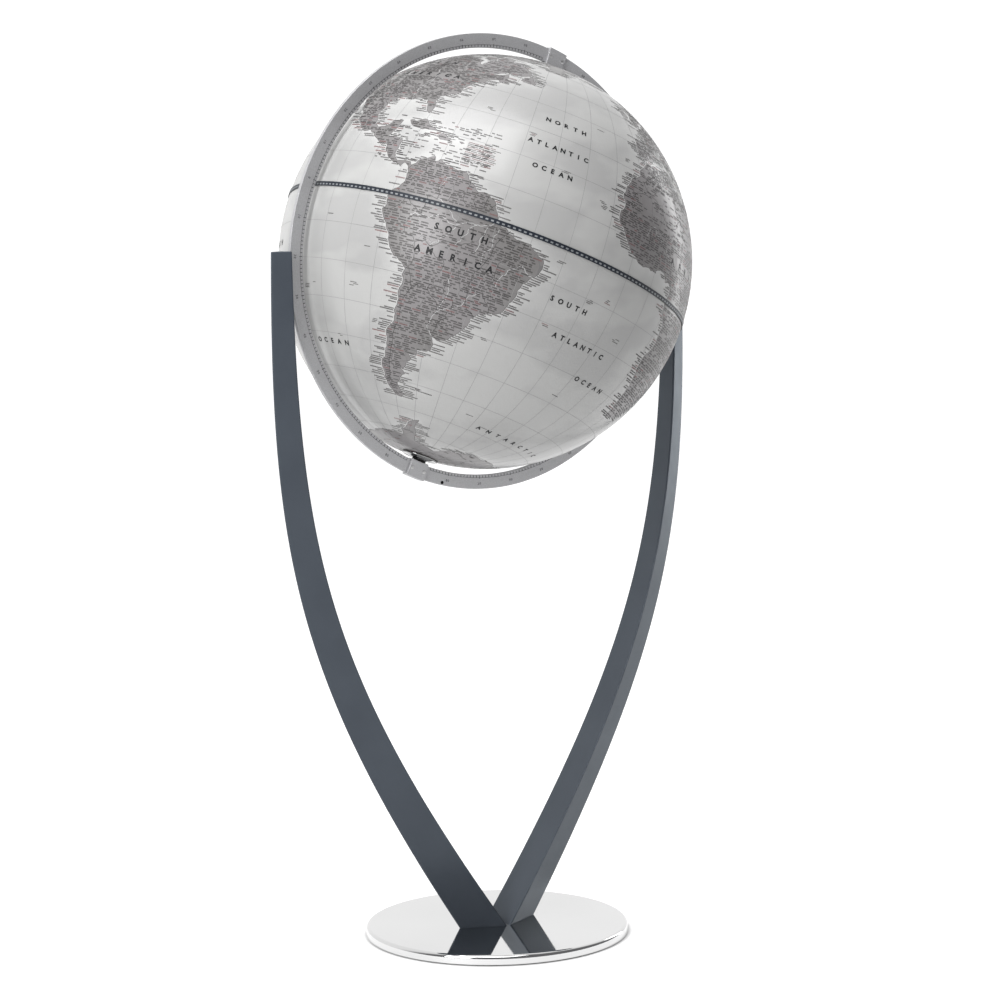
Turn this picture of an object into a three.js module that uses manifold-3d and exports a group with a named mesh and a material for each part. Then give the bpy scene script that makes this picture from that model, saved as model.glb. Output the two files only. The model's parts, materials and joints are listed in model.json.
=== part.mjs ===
// A floor-standing globe: a round weighted base, two curved three-sided legs that open upwards,
// a full meridian ring hung between the leg tops, and a ball on a tilted axis inside the ring.
//
// Frame: origin at the centre of the underside, +Z up, +X along the swing axis (the line from
// the left leg top to the right leg top), -Y towards the front. All lengths are millimetres.

import * as THREE from 'three';
import { mergeVertices } from 'three/addons/utils/BufferGeometryUtils.js';
import Module from 'manifold-3d';

const wasm = await Module();
wasm.setup();

// ---- Driving dimensions -------------------------------------------------------------------

const clearance = 0.3;            // gap left between two pieces that touch

// ball
const ballRadius = 200;
const ballWall = 3;
const seamBandHeight = 4.4;
const seamBandThickness = 0.4;
const joinerHeight = 16;
const joinerWall = 2;
const joinerDrop = 1.2;           // how far the joiner stays inside the shells' inner radius

// axis through the poles
const axisTilt = 23.5;            // degrees from vertical, towards +X
const axisPinDiameter = 4;
const axisPinLength = 34;
const axisPinSeat = 13;           // how deep the pin sits in its block
const bushWall = 2.2;
const bushTail = 12;              // bush length below its flange
const bushFlangeDiameter = 16;
const bushFlangeThickness = 1.5;
const centreTubeDiameter = 16;
const centreTubeWall = 2;
const cupDiameter = 36;
const cupNeckDiameter = 15;
const cupLip = 0.8;
const thrustWasherDiameter = 14;
const thrustWasherThickness = 1;

// meridian ring
const ringGap = 6;                // ball surface to the ring's inner edge
const ringWidth = 14;
const ringThickness = 4;
const blockLength = 20;
const blockThickness = 9;
const blockWebLength = 8;         // solid middle of a block, between its two sockets
const blockInnerWall = 1;
const blockOuterWall = 1.2;
const blockScrewDiameter = 2;
const blockScrewHeadDiameter = 3.6;
const blockScrewHeadHeight = 0.9;
const stopScrewDiameter = 3;
const stopScrewAngle = 8.5;       // degrees along the ring from the south pole, towards +X
const stopScrewEdge = 2.6;        // from the ring's outer edge to the screw's axis

// swing axis between the leg tops
const swingHeight = 663;
const pivotTipDiameter = 2.4;
const pivotTipReach = 8.4;        // how far the tip runs inside the ring
const pivotPinDiameter = 5;
const pivotWasherDiameter = 8;
const pivotWasherThickness = 0.8;

// legs
const legFootSide = 42;           // side of the three-sided section where the leg meets the base
const legTopSide = 21;
const legTopRise = 18;            // leg top above the swing axis
const legFootGap = 3;             // between the two inner faces at the base
const legFootLean = 35.6;         // degrees from vertical
const legFootPull = 0.505;        // curve handles, as shares of the curve's height
const legTopPull = 0.415;
const legScrewDiameter = 5;
const legScrewHeadDiameter = 9;
const legScrewHeadHeight = 2.8;
const legScrewReach = 15;         // how far the screw runs inside the leg
const legScrewPlaces = [0.38, 0.7]; // along the foot, from its inner face to its ridge

// base
const baseRadius = 130;
const baseHeight = 10;
const coverWall = 1.5;
const coverEdgeRadius = 4;
const coverSkirtLift = 1;
const padThickness = 1.5;
const padInset = 4;               // pad edge inside the cover's edge

// how finely round shapes are cut
const ballSides = 36;
const ballRows = 8;
const baseSides = 72;
const ringSteps = 44;             // along one half ring
const legSteps = 22;
const smallSides = 16;
const screwSides = 12;
const edgeSteps = 4;

// ---- Derived places -----------------------------------------------------------------------

const degree = Math.PI / 180;
const ringInner = ballRadius + ringGap;
const ringOuter = ringInner + ringWidth;
const ringMiddle = (ringInner + ringOuter) / 2;
const blockInner = ringInner - clearance - blockInnerWall;
const blockOuter = ringOuter + clearance + blockOuterWall;
const legInnerFace = ringOuter + pivotWasherThickness + 2 * clearance;
const legBottom = baseHeight + clearance;
const legTop = swingHeight + legTopRise;
const legBendTop = swingHeight - pivotWasherDiameter / 2 - clearance;
const ballInner = ballRadius - ballWall;
const sectionDepth = Math.sqrt(3) / 2; // height of an equilateral triangle with side 1

// ---- Colours ------------------------------------------------------------------------------

const finishes = {
  map: { color: 0xd2d2ce, roughness: 0.3, metalness: 0 },
  seam: { color: 0x3b4350, roughness: 0.5, metalness: 0 },
  slate: { color: 0x4a505b, roughness: 0.5, metalness: 0.3 },
  satin: { color: 0x9b9b9e, roughness: 0.45, metalness: 0.8 },
  chrome: { color: 0xe6e6e6, roughness: 0.05, metalness: 1 },
  steel: { color: 0x8a8c90, roughness: 0.4, metalness: 1 },
  black: { color: 0x151515, roughness: 0.6, metalness: 0.2 },
  nylon: { color: 0xe8e6de, roughness: 0.6, metalness: 0 },
  felt: { color: 0x22252a, roughness: 0.95, metalness: 0 },
};

// ---- Solid helpers ------------------------------------------------------------------------

function signedVolume(geometry) {
  const place = geometry.attributes.position;
  const index = geometry.index.array;
  const corners = [new THREE.Vector3(), new THREE.Vector3(), new THREE.Vector3()];
  let volume = 0;
  for (let i = 0; i < index.length; i += 3) {
    corners.forEach((corner, k) => corner.fromBufferAttribute(place, index[i + k]));
    volume += corners[0].dot(corners[1].clone().cross(corners[2])) / 6;
  }
  return volume;
}

// Turns any closed three.js geometry into a manifold solid with its faces pointing out.
function solid(source) {
  const bare = new THREE.BufferGeometry();
  bare.setAttribute('position', source.attributes.position.clone());
  if (source.index) {
    bare.setIndex(source.index.clone());
  }
  const merged = mergeVertices(bare, 1e-4);
  const triVerts = new Uint32Array(merged.index.array);
  if (signedVolume(merged) < 0) {
    triVerts.reverse();
  }
  const vertProperties = new Float32Array(merged.attributes.position.array);
  return new wasm.Manifold(new wasm.Mesh({ numProp: 3, vertProperties, triVerts }));
}

function geometryOf(body) {
  const mesh = body.getMesh();
  const geometry = new THREE.BufferGeometry();
  geometry.setAttribute('position', new THREE.BufferAttribute(mesh.vertProperties, 3));
  geometry.setIndex(new THREE.BufferAttribute(mesh.triVerts, 1));
  geometry.computeVertexNormals();
  return geometry;
}

// A profile of [radius, height] points turned about Z. It starts and ends on the axis or closes.
function revolved(profile, sides) {
  const points = profile.map(([radius, height]) => new THREE.Vector2(radius, height));
  const geometry = new THREE.LatheGeometry(points, sides);
  geometry.rotateX(90 * degree);
  return solid(geometry);
}

function cylinder(diameter, low, high, sides = smallSides) {
  const radius = diameter / 2;
  return revolved([[0, low], [radius, low], [radius, high], [0, high]], sides);
}

function tube(outer, inner, low, high, sides = smallSides) {
  const profile = [[inner, low], [outer, low], [outer, high], [inner, high], [inner, low]];
  return revolved(profile, sides);
}

// A cylinder from the origin's side of one point to another point.
function rodBetween(start, end, diameter, sides = smallSides) {
  const reach = end.clone().sub(start);
  const geometry = new THREE.CylinderGeometry(diameter / 2, diameter / 2, reach.length(), sides);
  const turn = new THREE.Quaternion();
  turn.setFromUnitVectors(new THREE.Vector3(0, 1, 0), reach.clone().normalize());
  geometry.applyQuaternion(turn);
  const middle = start.clone().add(end).multiplyScalar(0.5);
  geometry.translate(middle.x, middle.y, middle.z);
  return solid(geometry);
}

// A flat piece of annulus in the XZ plane, between two angles measured from +X towards +Z.
function annularPiece(inner, outer, from, to, thickness, steps) {
  const shape = new THREE.Shape();
  const angleAt = (k) => (from + ((to - from) * k) / steps) * degree;
  for (let k = 0; k <= steps; k += 1) {
    const x = outer * Math.cos(angleAt(k));
    const y = outer * Math.sin(angleAt(k));
    if (k === 0) {
      shape.moveTo(x, y);
    } else {
      shape.lineTo(x, y);
    }
  }
  for (let k = steps; k >= 0; k -= 1) {
    shape.lineTo(inner * Math.cos(angleAt(k)), inner * Math.sin(angleAt(k)));
  }
  const geometry = new THREE.ExtrudeGeometry(shape, { depth: thickness, bevelEnabled: false });
  geometry.translate(0, 0, -thickness / 2);
  geometry.rotateX(90 * degree);
  return solid(geometry);
}

// Joins equal-length rings of points into one closed skin with flat ends.
function lofted(rings) {
  const count = rings[0].length;
  const places = rings.flat().flatMap((point) => [point.x, point.y, point.z]);
  const faces = [];
  for (let row = 0; row < rings.length - 1; row += 1) {
    for (let k = 0; k < count; k += 1) {
      const a = row * count + k;
      const b = row * count + ((k + 1) % count);
      faces.push(a, b, b + count, a, b + count, a + count);
    }
  }
  const last = (rings.length - 1) * count;
  for (let k = 1; k < count - 1; k += 1) {
    faces.push(0, k + 1, k, last, last + k, last + k + 1);
  }
  const geometry = new THREE.BufferGeometry();
  geometry.setAttribute('position', new THREE.Float32BufferAttribute(places, 3));
  geometry.setIndex(faces);
  return solid(geometry);
}

function mirroredX(body) {
  return body.mirror([1, 0, 0]);
}

// ---- Base ---------------------------------------------------------------------------------

const weightTop = baseHeight - coverWall - clearance;
const weightBottom = padThickness + clearance;
const weightRadius = baseRadius - coverWall - clearance;

function edgeArc(radius, centreRadius, centreHeight) {
  const points = [];
  for (let k = 0; k <= edgeSteps; k += 1) {
    const angle = (90 * degree * k) / edgeSteps;
    points.push([
      centreRadius + radius * Math.sin(angle),
      centreHeight + radius * Math.cos(angle),
    ]);
  }
  return points;
}

function baseCover() {
  const centreRadius = baseRadius - coverEdgeRadius;
  const centreHeight = baseHeight - coverEdgeRadius;
  const outside = edgeArc(coverEdgeRadius, centreRadius, centreHeight);
  const inside = edgeArc(coverEdgeRadius - coverWall, centreRadius, centreHeight).reverse();
  const profile = [
    [0, baseHeight],
    ...outside,
    [baseRadius, coverSkirtLift],
    [baseRadius - coverWall, coverSkirtLift],
    ...inside,
    [0, baseHeight - coverWall],
  ];
  return revolved(profile, baseSides).subtract(legScrewHoles());
}

function baseWeight() {
  const chamfer = coverEdgeRadius - coverWall;
  const profile = [
    [0, weightBottom],
    [weightRadius, weightBottom],
    [weightRadius, weightTop - chamfer],
    [weightRadius - chamfer, weightTop],
    [0, weightTop],
  ];
  return revolved(profile, baseSides).subtract(legScrewHoles());
}

function basePad() {
  return cylinder(2 * (baseRadius - padInset), 0, padThickness, baseSides);
}

// ---- Legs ---------------------------------------------------------------------------------

const footDepth = (legFootSide * sectionDepth) / Math.cos(legFootLean * degree);

// The middle line of the right leg's inner face, from the base's top to where it turns straight
// up beside the pivot washer.
function legCurve() {
  const height = legBendTop - baseHeight;
  const foot = new THREE.Vector3(legFootGap / 2, 0, baseHeight);
  const lean = legFootLean * degree;
  const footPull = height * legFootPull;
  const topPull = height * legTopPull;
  const footHandle = new THREE.Vector3(
    foot.x + footPull * Math.sin(lean),
    0,
    foot.z + footPull * Math.cos(lean),
  );
  const topHandle = new THREE.Vector3(legInnerFace, 0, legBendTop - topPull);
  const top = new THREE.Vector3(legInnerFace, 0, legBendTop);
  return new THREE.CubicBezierCurve3(foot, footHandle, topHandle, top);
}

// One three-sided section: a flat face on the curve and a ridge pointing away from the ball.
function legSection(place, along, side) {
  const outward = new THREE.Vector3(along.z, 0, -along.x);
  const across = new THREE.Vector3(0, side / 2, 0);
  return [
    place.clone().sub(across),
    place.clone().add(across),
    place.clone().addScaledVector(outward, side * sectionDepth),
  ];
}

function rightLegBlank() {
  const curve = legCurve();
  const curveShare = curve.getLength() / (curve.getLength() + legTop - legBendTop);
  const rings = [];
  const footAlong = curve.getTangentAt(0);
  const below = curve.getPointAt(0).addScaledVector(footAlong, -legFootSide);
  rings.push(legSection(below, footAlong, legFootSide));
  for (let k = 0; k <= legSteps; k += 1) {
    const share = k / legSteps;
    const side = legFootSide + (legTopSide - legFootSide) * share * curveShare;
    rings.push(legSection(curve.getPointAt(share), curve.getTangentAt(share), side));
  }
  const top = new THREE.Vector3(legInnerFace, 0, legTop);
  rings.push(legSection(top, new THREE.Vector3(0, 0, 1), legTopSide));
  const reach = 3 * legFootSide;
  const trim = cylinder(2 * reach, legBottom - reach, legBottom);
  return lofted(rings).subtract(trim);
}

function legScrewX(place) {
  return legFootGap / 2 + footDepth * place;
}

function atLegScrews(makeOne) {
  const bodies = [];
  for (const sign of [-1, 1]) {
    for (const place of legScrewPlaces) {
      bodies.push(makeOne().translate([sign * legScrewX(place), 0, 0]));
    }
  }
  return bodies;
}

const legScrewHeadTop = weightBottom + legScrewHeadHeight + clearance;

function legScrew() {
  const shankRadius = legScrewDiameter / 2;
  const headRadius = legScrewHeadDiameter / 2;
  const headLow = legScrewHeadTop - clearance - legScrewHeadHeight;
  const headHigh = legScrewHeadTop - clearance;
  const profile = [
    [0, headLow],
    [headRadius, headLow],
    [headRadius, headHigh],
    [shankRadius, headHigh],
    [shankRadius, legBottom + legScrewReach],
    [0, legBottom + legScrewReach],
  ];
  return revolved(profile, screwSides);
}

function legScrewHole() {
  const shank = cylinder(
    legScrewDiameter + 2 * clearance,
    0,
    legBottom + legScrewReach + clearance,
    screwSides,
  );
  const head = cylinder(legScrewHeadDiameter + 2 * clearance, 0, legScrewHeadTop, screwSides);
  return shank.add(head);
}

function legScrewHoles() {
  return atLegScrews(legScrewHole).reduce((joined, hole) => joined.add(hole));
}

// ---- Swing axis ---------------------------------------------------------------------------

const pivotSeat = (legTopSide * sectionDepth) / 2;

function pivotPin() {
  const tipEnd = new THREE.Vector3(ringOuter - pivotTipReach, 0, swingHeight);
  const shoulder = new THREE.Vector3(legInnerFace + clearance, 0, swingHeight);
  const inLeg = new THREE.Vector3(legInnerFace + pivotSeat, 0, swingHeight);
  const tip = rodBetween(tipEnd, inLeg, pivotTipDiameter);
  return tip.add(rodBetween(shoulder, inLeg, pivotPinDiameter));
}

function pivotPinHole() {
  const outside = new THREE.Vector3(legInnerFace - clearance, 0, swingHeight);
  const inLeg = new THREE.Vector3(legInnerFace + pivotSeat + clearance, 0, swingHeight);
  return rodBetween(outside, inLeg, pivotPinDiameter + 2 * clearance);
}

function pivotWasher() {
  const inside = new THREE.Vector3(ringOuter + clearance, 0, swingHeight);
  const outside = new THREE.Vector3(legInnerFace - clearance, 0, swingHeight);
  const boreStart = new THREE.Vector3(ringOuter, 0, swingHeight);
  const boreEnd = new THREE.Vector3(legInnerFace, 0, swingHeight);
  const bore = rodBetween(boreStart, boreEnd, pivotTipDiameter + 2 * clearance);
  return rodBetween(inside, outside, pivotWasherDiameter).subtract(bore);
}

function rightLeg() {
  return rightLegBlank().subtract(legScrewHoles()).subtract(pivotPinHole());
}

// ---- Meridian ring, in the axis frame: origin at the ball's centre, +Z to the north pole ----

function anglePast(length) {
  return length / ringMiddle / degree;
}

function swingAxisHole(sign) {
  const out = new THREE.Vector3(Math.cos(axisTilt * degree), 0, Math.sin(axisTilt * degree));
  const start = out.clone().multiplyScalar(sign * (ringOuter - pivotTipReach - clearance));
  const end = out.clone().multiplyScalar(sign * (ringOuter + clearance));
  return rodBetween(start, end, pivotTipDiameter + 2 * clearance);
}

function blockScrewPlace(poleSign, side) {
  const socketMiddle = (blockLength + blockWebLength) / 4;
  const angle = (90 - side * anglePast(socketMiddle)) * degree;
  const x = ringMiddle * Math.cos(angle);
  const z = poleSign * ringMiddle * Math.sin(angle);
  return new THREE.Vector3(x, 0, z);
}

function crossHole(place, diameter) {
  const half = new THREE.Vector3(0, blockThickness, 0);
  return rodBetween(place.clone().sub(half), place.clone().add(half), diameter, screwSides);
}

function stopScrewPlace() {
  const angle = (-90 + stopScrewAngle) * degree;
  const radius = ringOuter - stopScrewEdge;
  return new THREE.Vector3(radius * Math.cos(angle), 0, radius * Math.sin(angle));
}

// Half of the ring, on the +X side for sign 1 and on the -X side for sign -1.
function meridianHalf(sign) {
  const endAngle = 90 - anglePast(blockWebLength / 2 + clearance);
  const blank = annularPiece(ringInner, ringOuter, -endAngle, endAngle, ringThickness, ringSteps);
  let half = sign > 0 ? blank : mirroredX(blank);
  half = half.subtract(swingAxisHole(sign));
  for (const poleSign of [-1, 1]) {
    const place = blockScrewPlace(poleSign, sign);
    half = half.subtract(crossHole(place, blockScrewDiameter + 2 * clearance));
  }
  if (sign > 0) {
    half = half.subtract(crossHole(stopScrewPlace(), stopScrewDiameter + 2 * clearance));
  }
  return half;
}

// A block at one pole takes an end of each half ring and holds the axis pin.
function poleBlock(poleSign) {
  const reach = anglePast(blockLength / 2);
  const web = anglePast(blockWebLength / 2);
  const body = annularPiece(
    blockInner, blockOuter, 90 - reach, 90 + reach, blockThickness, edgeSteps,
  );
  const socket = annularPiece(
    ringInner - clearance,
    ringOuter + clearance,
    90 + web,
    90 + 2 * reach,
    ringThickness + 2 * clearance,
    edgeSteps,
  );
  let block = body.subtract(socket).subtract(mirroredX(socket)).subtract(axisPinHole());
  for (const side of [-1, 1]) {
    const place = blockScrewPlace(1, side);
    const head = place.clone().add(new THREE.Vector3(0, -blockThickness / 2, 0));
    const headSeat = blockScrewHeadHeight + clearance;
    const above = head.clone().add(new THREE.Vector3(0, -headSeat, 0));
    const below = head.clone().add(new THREE.Vector3(0, headSeat, 0));
    const diameter = blockScrewHeadDiameter + 2 * clearance;
    block = block.subtract(crossHole(place, blockScrewDiameter + 2 * clearance));
    block = block.subtract(rodBetween(above, below, diameter, screwSides));
  }
  return poleSign > 0 ? block : block.mirror([0, 0, 1]);
}

function blockScrew(poleSign, side) {
  const place = blockScrewPlace(poleSign, side);
  const front = place.clone().add(new THREE.Vector3(0, -blockThickness / 2, 0));
  const neck = front.clone().add(new THREE.Vector3(0, blockScrewHeadHeight, 0));
  const end = place.clone().add(new THREE.Vector3(0, blockThickness / 2, 0));
  const head = rodBetween(front, neck, blockScrewHeadDiameter, screwSides);
  return head.add(rodBetween(front, end, blockScrewDiameter, screwSides));
}

function stopScrew() {
  const half = new THREE.Vector3(0, ringThickness / 2 + clearance, 0);
  const place = stopScrewPlace();
  return rodBetween(place.clone().sub(half), place.clone().add(half), stopScrewDiameter);
}

// ---- Axis pins, bushes and pole cups --------------------------------------------------------

const axisPinTop = blockInner + axisPinSeat;
const axisPinBottom = axisPinTop - axisPinLength;
const bushBore = axisPinDiameter / 2 + clearance;
const bushOuter = bushBore + bushWall;
const bushFlangeTop = ballInner - 2 * clearance;
const bushFlangeBottom = bushFlangeTop - bushFlangeThickness;
const cupSeat = ballRadius + clearance;
const thrustWasherTop = blockInner - clearance;
const thrustWasherBottom = thrustWasherTop - thrustWasherThickness;
const cupTop = thrustWasherBottom - clearance;

function northOrSouth(body, poleSign) {
  return poleSign > 0 ? body : body.mirror([0, 0, 1]);
}

function axisPin(poleSign) {
  return northOrSouth(cylinder(axisPinDiameter, axisPinBottom, axisPinTop), poleSign);
}

function axisPinHole() {
  return cylinder(axisPinDiameter + 2 * clearance, blockInner - 1, axisPinTop + clearance);
}

function thrustWasher(poleSign) {
  const outer = thrustWasherDiameter / 2;
  const washer = tube(outer, bushBore, thrustWasherBottom, thrustWasherTop);
  return northOrSouth(washer, poleSign);
}

// A shallow polished cup whose underside follows the ball and whose neck meets the washer.
function poleCup(poleSign) {
  const rim = cupDiameter / 2;
  const neck = cupNeckDiameter / 2;
  const rimHeight = Math.sqrt(cupSeat ** 2 - rim ** 2);
  const waist = (rim + neck) / 2;
  const waistHeight = Math.sqrt(cupSeat ** 2 - waist ** 2);
  const profile = [
    [bushBore, cupSeat],
    [waist, waistHeight],
    [rim, rimHeight],
    [rim, rimHeight + cupLip],
    [waist, (rimHeight + cupLip + cupTop) / 2],
    [neck, cupTop],
    [bushBore, cupTop],
    [bushBore, cupSeat],
  ];
  return northOrSouth(revolved(profile, 2 * smallSides), poleSign);
}

function poleBush(poleSign) {
  const flange = bushFlangeDiameter / 2;
  const profile = [
    [bushBore, bushFlangeBottom - bushTail],
    [bushOuter, bushFlangeBottom - bushTail],
    [bushOuter, bushFlangeBottom],
    [flange, bushFlangeBottom],
    [flange, bushFlangeTop],
    [bushOuter, bushFlangeTop],
    [bushOuter, ballRadius - clearance],
    [bushBore, ballRadius - clearance],
    [bushBore, bushFlangeBottom - bushTail],
  ];
  return northOrSouth(revolved(profile, smallSides), poleSign);
}

// ---- Ball -----------------------------------------------------------------------------------

function shellArc(radius, poleRadius) {
  const points = [];
  const first = Math.asin(clearance / 2 / radius);
  const last = Math.acos(poleRadius / radius);
  for (let k = 0; k <= ballRows; k += 1) {
    const latitude = first + ((last - first) * k) / ballRows;
    points.push([radius * Math.cos(latitude), radius * Math.sin(latitude)]);
  }
  return points;
}

function hemisphere(poleSign) {
  const poleRadius = bushOuter + clearance;
  const outside = shellArc(ballRadius, poleRadius);
  const inside = shellArc(ballInner, poleRadius).reverse();
  const profile = [...outside, ...inside, outside[0]];
  return northOrSouth(revolved(profile, ballSides), poleSign);
}

function seamBand() {
  const inner = ballRadius + clearance;
  const half = seamBandHeight / 2;
  return tube(inner + seamBandThickness, inner, -half, half, ballSides);
}

function seamJoiner() {
  const outer = ballInner - joinerDrop;
  const half = joinerHeight / 2;
  return tube(outer, outer - joinerWall, -half, half, ballSides);
}

function centreTube() {
  const outer = centreTubeDiameter / 2;
  const half = bushFlangeBottom - clearance;
  return tube(outer, outer - centreTubeWall, -half, half);
}

// ---- Assembly -------------------------------------------------------------------------------

const globe = new THREE.Group();
const axisFrame = new THREE.Group();
axisFrame.position.set(0, 0, swingHeight);
axisFrame.rotation.y = axisTilt * degree;
globe.add(axisFrame);

function place(parent, name, body, finish) {
  const material = new THREE.MeshStandardMaterial(finishes[finish]);
  const mesh = new THREE.Mesh(geometryOf(body), material);
  mesh.name = name;
  parent.add(mesh);
}

place(globe, 'base_cover', baseCover(), 'chrome');
place(globe, 'base_weight', baseWeight(), 'steel');
place(globe, 'base_pad', basePad(), 'felt');

place(globe, 'right_leg', rightLeg(), 'slate');
place(globe, 'left_leg', mirroredX(rightLeg()), 'slate');
const legScrewNames = [
  'left_leg_inner_screw',
  'left_leg_outer_screw',
  'right_leg_inner_screw',
  'right_leg_outer_screw',
];
atLegScrews(legScrew).forEach((body, k) => place(globe, legScrewNames[k], body, 'steel'));

for (const [side, turn] of [['right', (body) => body], ['left', mirroredX]]) {
  place(globe, `${side}_pivot_pin`, turn(pivotPin()), 'steel');
  place(globe, `${side}_pivot_washer`, turn(pivotWasher()), 'nylon');
}

for (const [side, sign] of [['right', 1], ['left', -1]]) {
  place(axisFrame, `meridian_half_${side}`, meridianHalf(sign), 'satin');
}
place(axisFrame, 'meridian_stop_screw', stopScrew(), 'black');

for (const [pole, sign] of [['north', 1], ['south', -1]]) {
  place(axisFrame, `${pole}_pole_block`, poleBlock(sign), 'satin');
  place(axisFrame, `${pole}_block_screw_right`, blockScrew(sign, 1), 'steel');
  place(axisFrame, `${pole}_block_screw_left`, blockScrew(sign, -1), 'steel');
  place(axisFrame, `${pole}_axis_pin`, axisPin(sign), 'steel');
  place(axisFrame, `${pole}_thrust_washer`, thrustWasher(sign), 'black');
  place(axisFrame, `${pole}_pole_cup`, poleCup(sign), 'chrome');
  place(axisFrame, `${pole}_bush`, poleBush(sign), 'nylon');
  place(axisFrame, `${pole}_hemisphere`, hemisphere(sign), 'map');
}
place(axisFrame, 'equator_band', seamBand(), 'seam');
place(axisFrame, 'equator_joiner', seamJoiner(), 'nylon');
place(axisFrame, 'centre_tube', centreTube(), 'steel');

export default globe;
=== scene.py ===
"""A floor-standing globe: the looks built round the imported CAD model. Lengths are in metres."""

import json
import math
import random

import bmesh
import bpy
import numpy as np
from mathutils import Matrix, Vector
from mathutils.geometry import delaunay_2d_cdt


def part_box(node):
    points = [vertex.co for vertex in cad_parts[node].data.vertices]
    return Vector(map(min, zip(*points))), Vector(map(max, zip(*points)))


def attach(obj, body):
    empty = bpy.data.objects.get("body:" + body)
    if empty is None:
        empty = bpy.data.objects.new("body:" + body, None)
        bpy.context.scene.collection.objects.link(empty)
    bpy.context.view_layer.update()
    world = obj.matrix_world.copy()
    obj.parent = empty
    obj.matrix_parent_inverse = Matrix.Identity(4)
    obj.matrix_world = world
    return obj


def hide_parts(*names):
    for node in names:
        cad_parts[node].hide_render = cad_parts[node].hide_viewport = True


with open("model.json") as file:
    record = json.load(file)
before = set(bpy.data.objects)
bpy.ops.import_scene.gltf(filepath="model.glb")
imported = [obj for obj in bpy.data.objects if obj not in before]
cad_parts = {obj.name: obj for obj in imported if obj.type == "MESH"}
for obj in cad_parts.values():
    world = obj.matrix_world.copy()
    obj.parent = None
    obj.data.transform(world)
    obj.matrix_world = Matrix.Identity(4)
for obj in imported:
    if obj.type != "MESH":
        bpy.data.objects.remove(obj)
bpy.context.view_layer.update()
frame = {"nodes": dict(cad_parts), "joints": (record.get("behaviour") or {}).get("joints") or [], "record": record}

# ---- Sizes and places, from the frame -------------------------------------------------------

MM = 0.001
CLEARANCE = 0.3 * MM
JOINTS = {joint["name"]: joint for joint in frame["joints"]}
CENTRE = Vector(JOINTS["globe_spin"]["pos_m"])
AXIS = Vector(JOINTS["globe_spin"]["axis"])
TILT = math.atan2(AXIS.x, AXIS.z)
AXIS_TO_ROW = Matrix.Translation(CENTRE) @ Matrix.Rotation(TILT, 4, "Y")

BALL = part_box("north_hemisphere")[1].y
RING_INNER = BALL + 6 * MM
RING_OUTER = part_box("meridian_half_left")[1].z - CENTRE.z
RING_MIDDLE = (RING_INNER + RING_OUTER) / 2
RING_HALF_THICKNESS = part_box("meridian_half_right")[1].y
BLOCK_HALF_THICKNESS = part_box("north_pole_block")[1].y
BALL_WALL = 3 * MM
BLOCK_HALF_LENGTH = 10 * MM
BLOCK_SCREW_PLACE = 7 * MM
BLOCK_INNER = RING_INNER - 1.3 * MM
BLOCK_OUTER = RING_OUTER + 1.5 * MM
LEG_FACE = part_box("right_pivot_washer")[1].x + CLEARANCE
LEG_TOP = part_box("right_leg")[1].z
LEG_BEND_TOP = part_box("right_pivot_washer")[0].z - CLEARANCE
BASE_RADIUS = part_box("base_cover")[1].x
BASE_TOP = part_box("base_cover")[1].z
BASE_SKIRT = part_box("base_cover")[0].z
LEG_FOOT_SIDE = 42 * MM
LEG_TOP_SIDE = 21 * MM
LEG_FOOT_GAP = 3 * MM
LEG_FOOT_LEAN = math.radians(35.6)
LEG_FOOT_PULL = 0.505
LEG_TOP_PULL = 0.415
LEG_CORNER = 2.2 * MM
FOOT_LIFT = 0.05 * MM
HEAD_RISE = 0.35 * MM
SOCKET_DEPTH = 0.3 * MM
AXIS_BORE = 2.3 * MM
WASHER_THICKNESS = 1 * MM
WASHER_RADIUS = 7 * MM
SECTION_DEPTH = math.sqrt(3) / 2
DEGREE = math.pi / 180

# ---- Camera ---------------------------------------------------------------------------------

CAMERA_PLACE = Vector((-1.6081, -2.3880, 0.7639))
CAMERA_HEADING = math.radians(34.16)
CAMERA_PITCH = math.radians(6.59)
CAMERA_ROLL = math.radians(0.98)
CAMERA_LENS = 106.7


def make_camera():
    heading = Vector((math.sin(CAMERA_HEADING), math.cos(CAMERA_HEADING), 0))
    level_right = Vector((math.cos(CAMERA_HEADING), -math.sin(CAMERA_HEADING), 0))
    skyward = Vector((0, 0, 1))
    forward = heading * math.cos(CAMERA_PITCH) - skyward * math.sin(CAMERA_PITCH)
    level_up = heading * math.sin(CAMERA_PITCH) + skyward * math.cos(CAMERA_PITCH)
    right = level_right * math.cos(CAMERA_ROLL) - level_up * math.sin(CAMERA_ROLL)
    up = level_right * math.sin(CAMERA_ROLL) + level_up * math.cos(CAMERA_ROLL)
    data = bpy.data.cameras.new("photo_camera")
    data.lens = CAMERA_LENS
    data.sensor_width = 36
    camera = bpy.data.objects.new("photo_camera", data)
    turn = Matrix((right, up, -forward)).transposed().to_4x4()
    camera.matrix_world = Matrix.Translation(CAMERA_PLACE) @ turn
    bpy.context.scene.collection.objects.link(camera)
    bpy.context.scene.camera = camera


make_camera()

# ---- Materials ------------------------------------------------------------------------------


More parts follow.
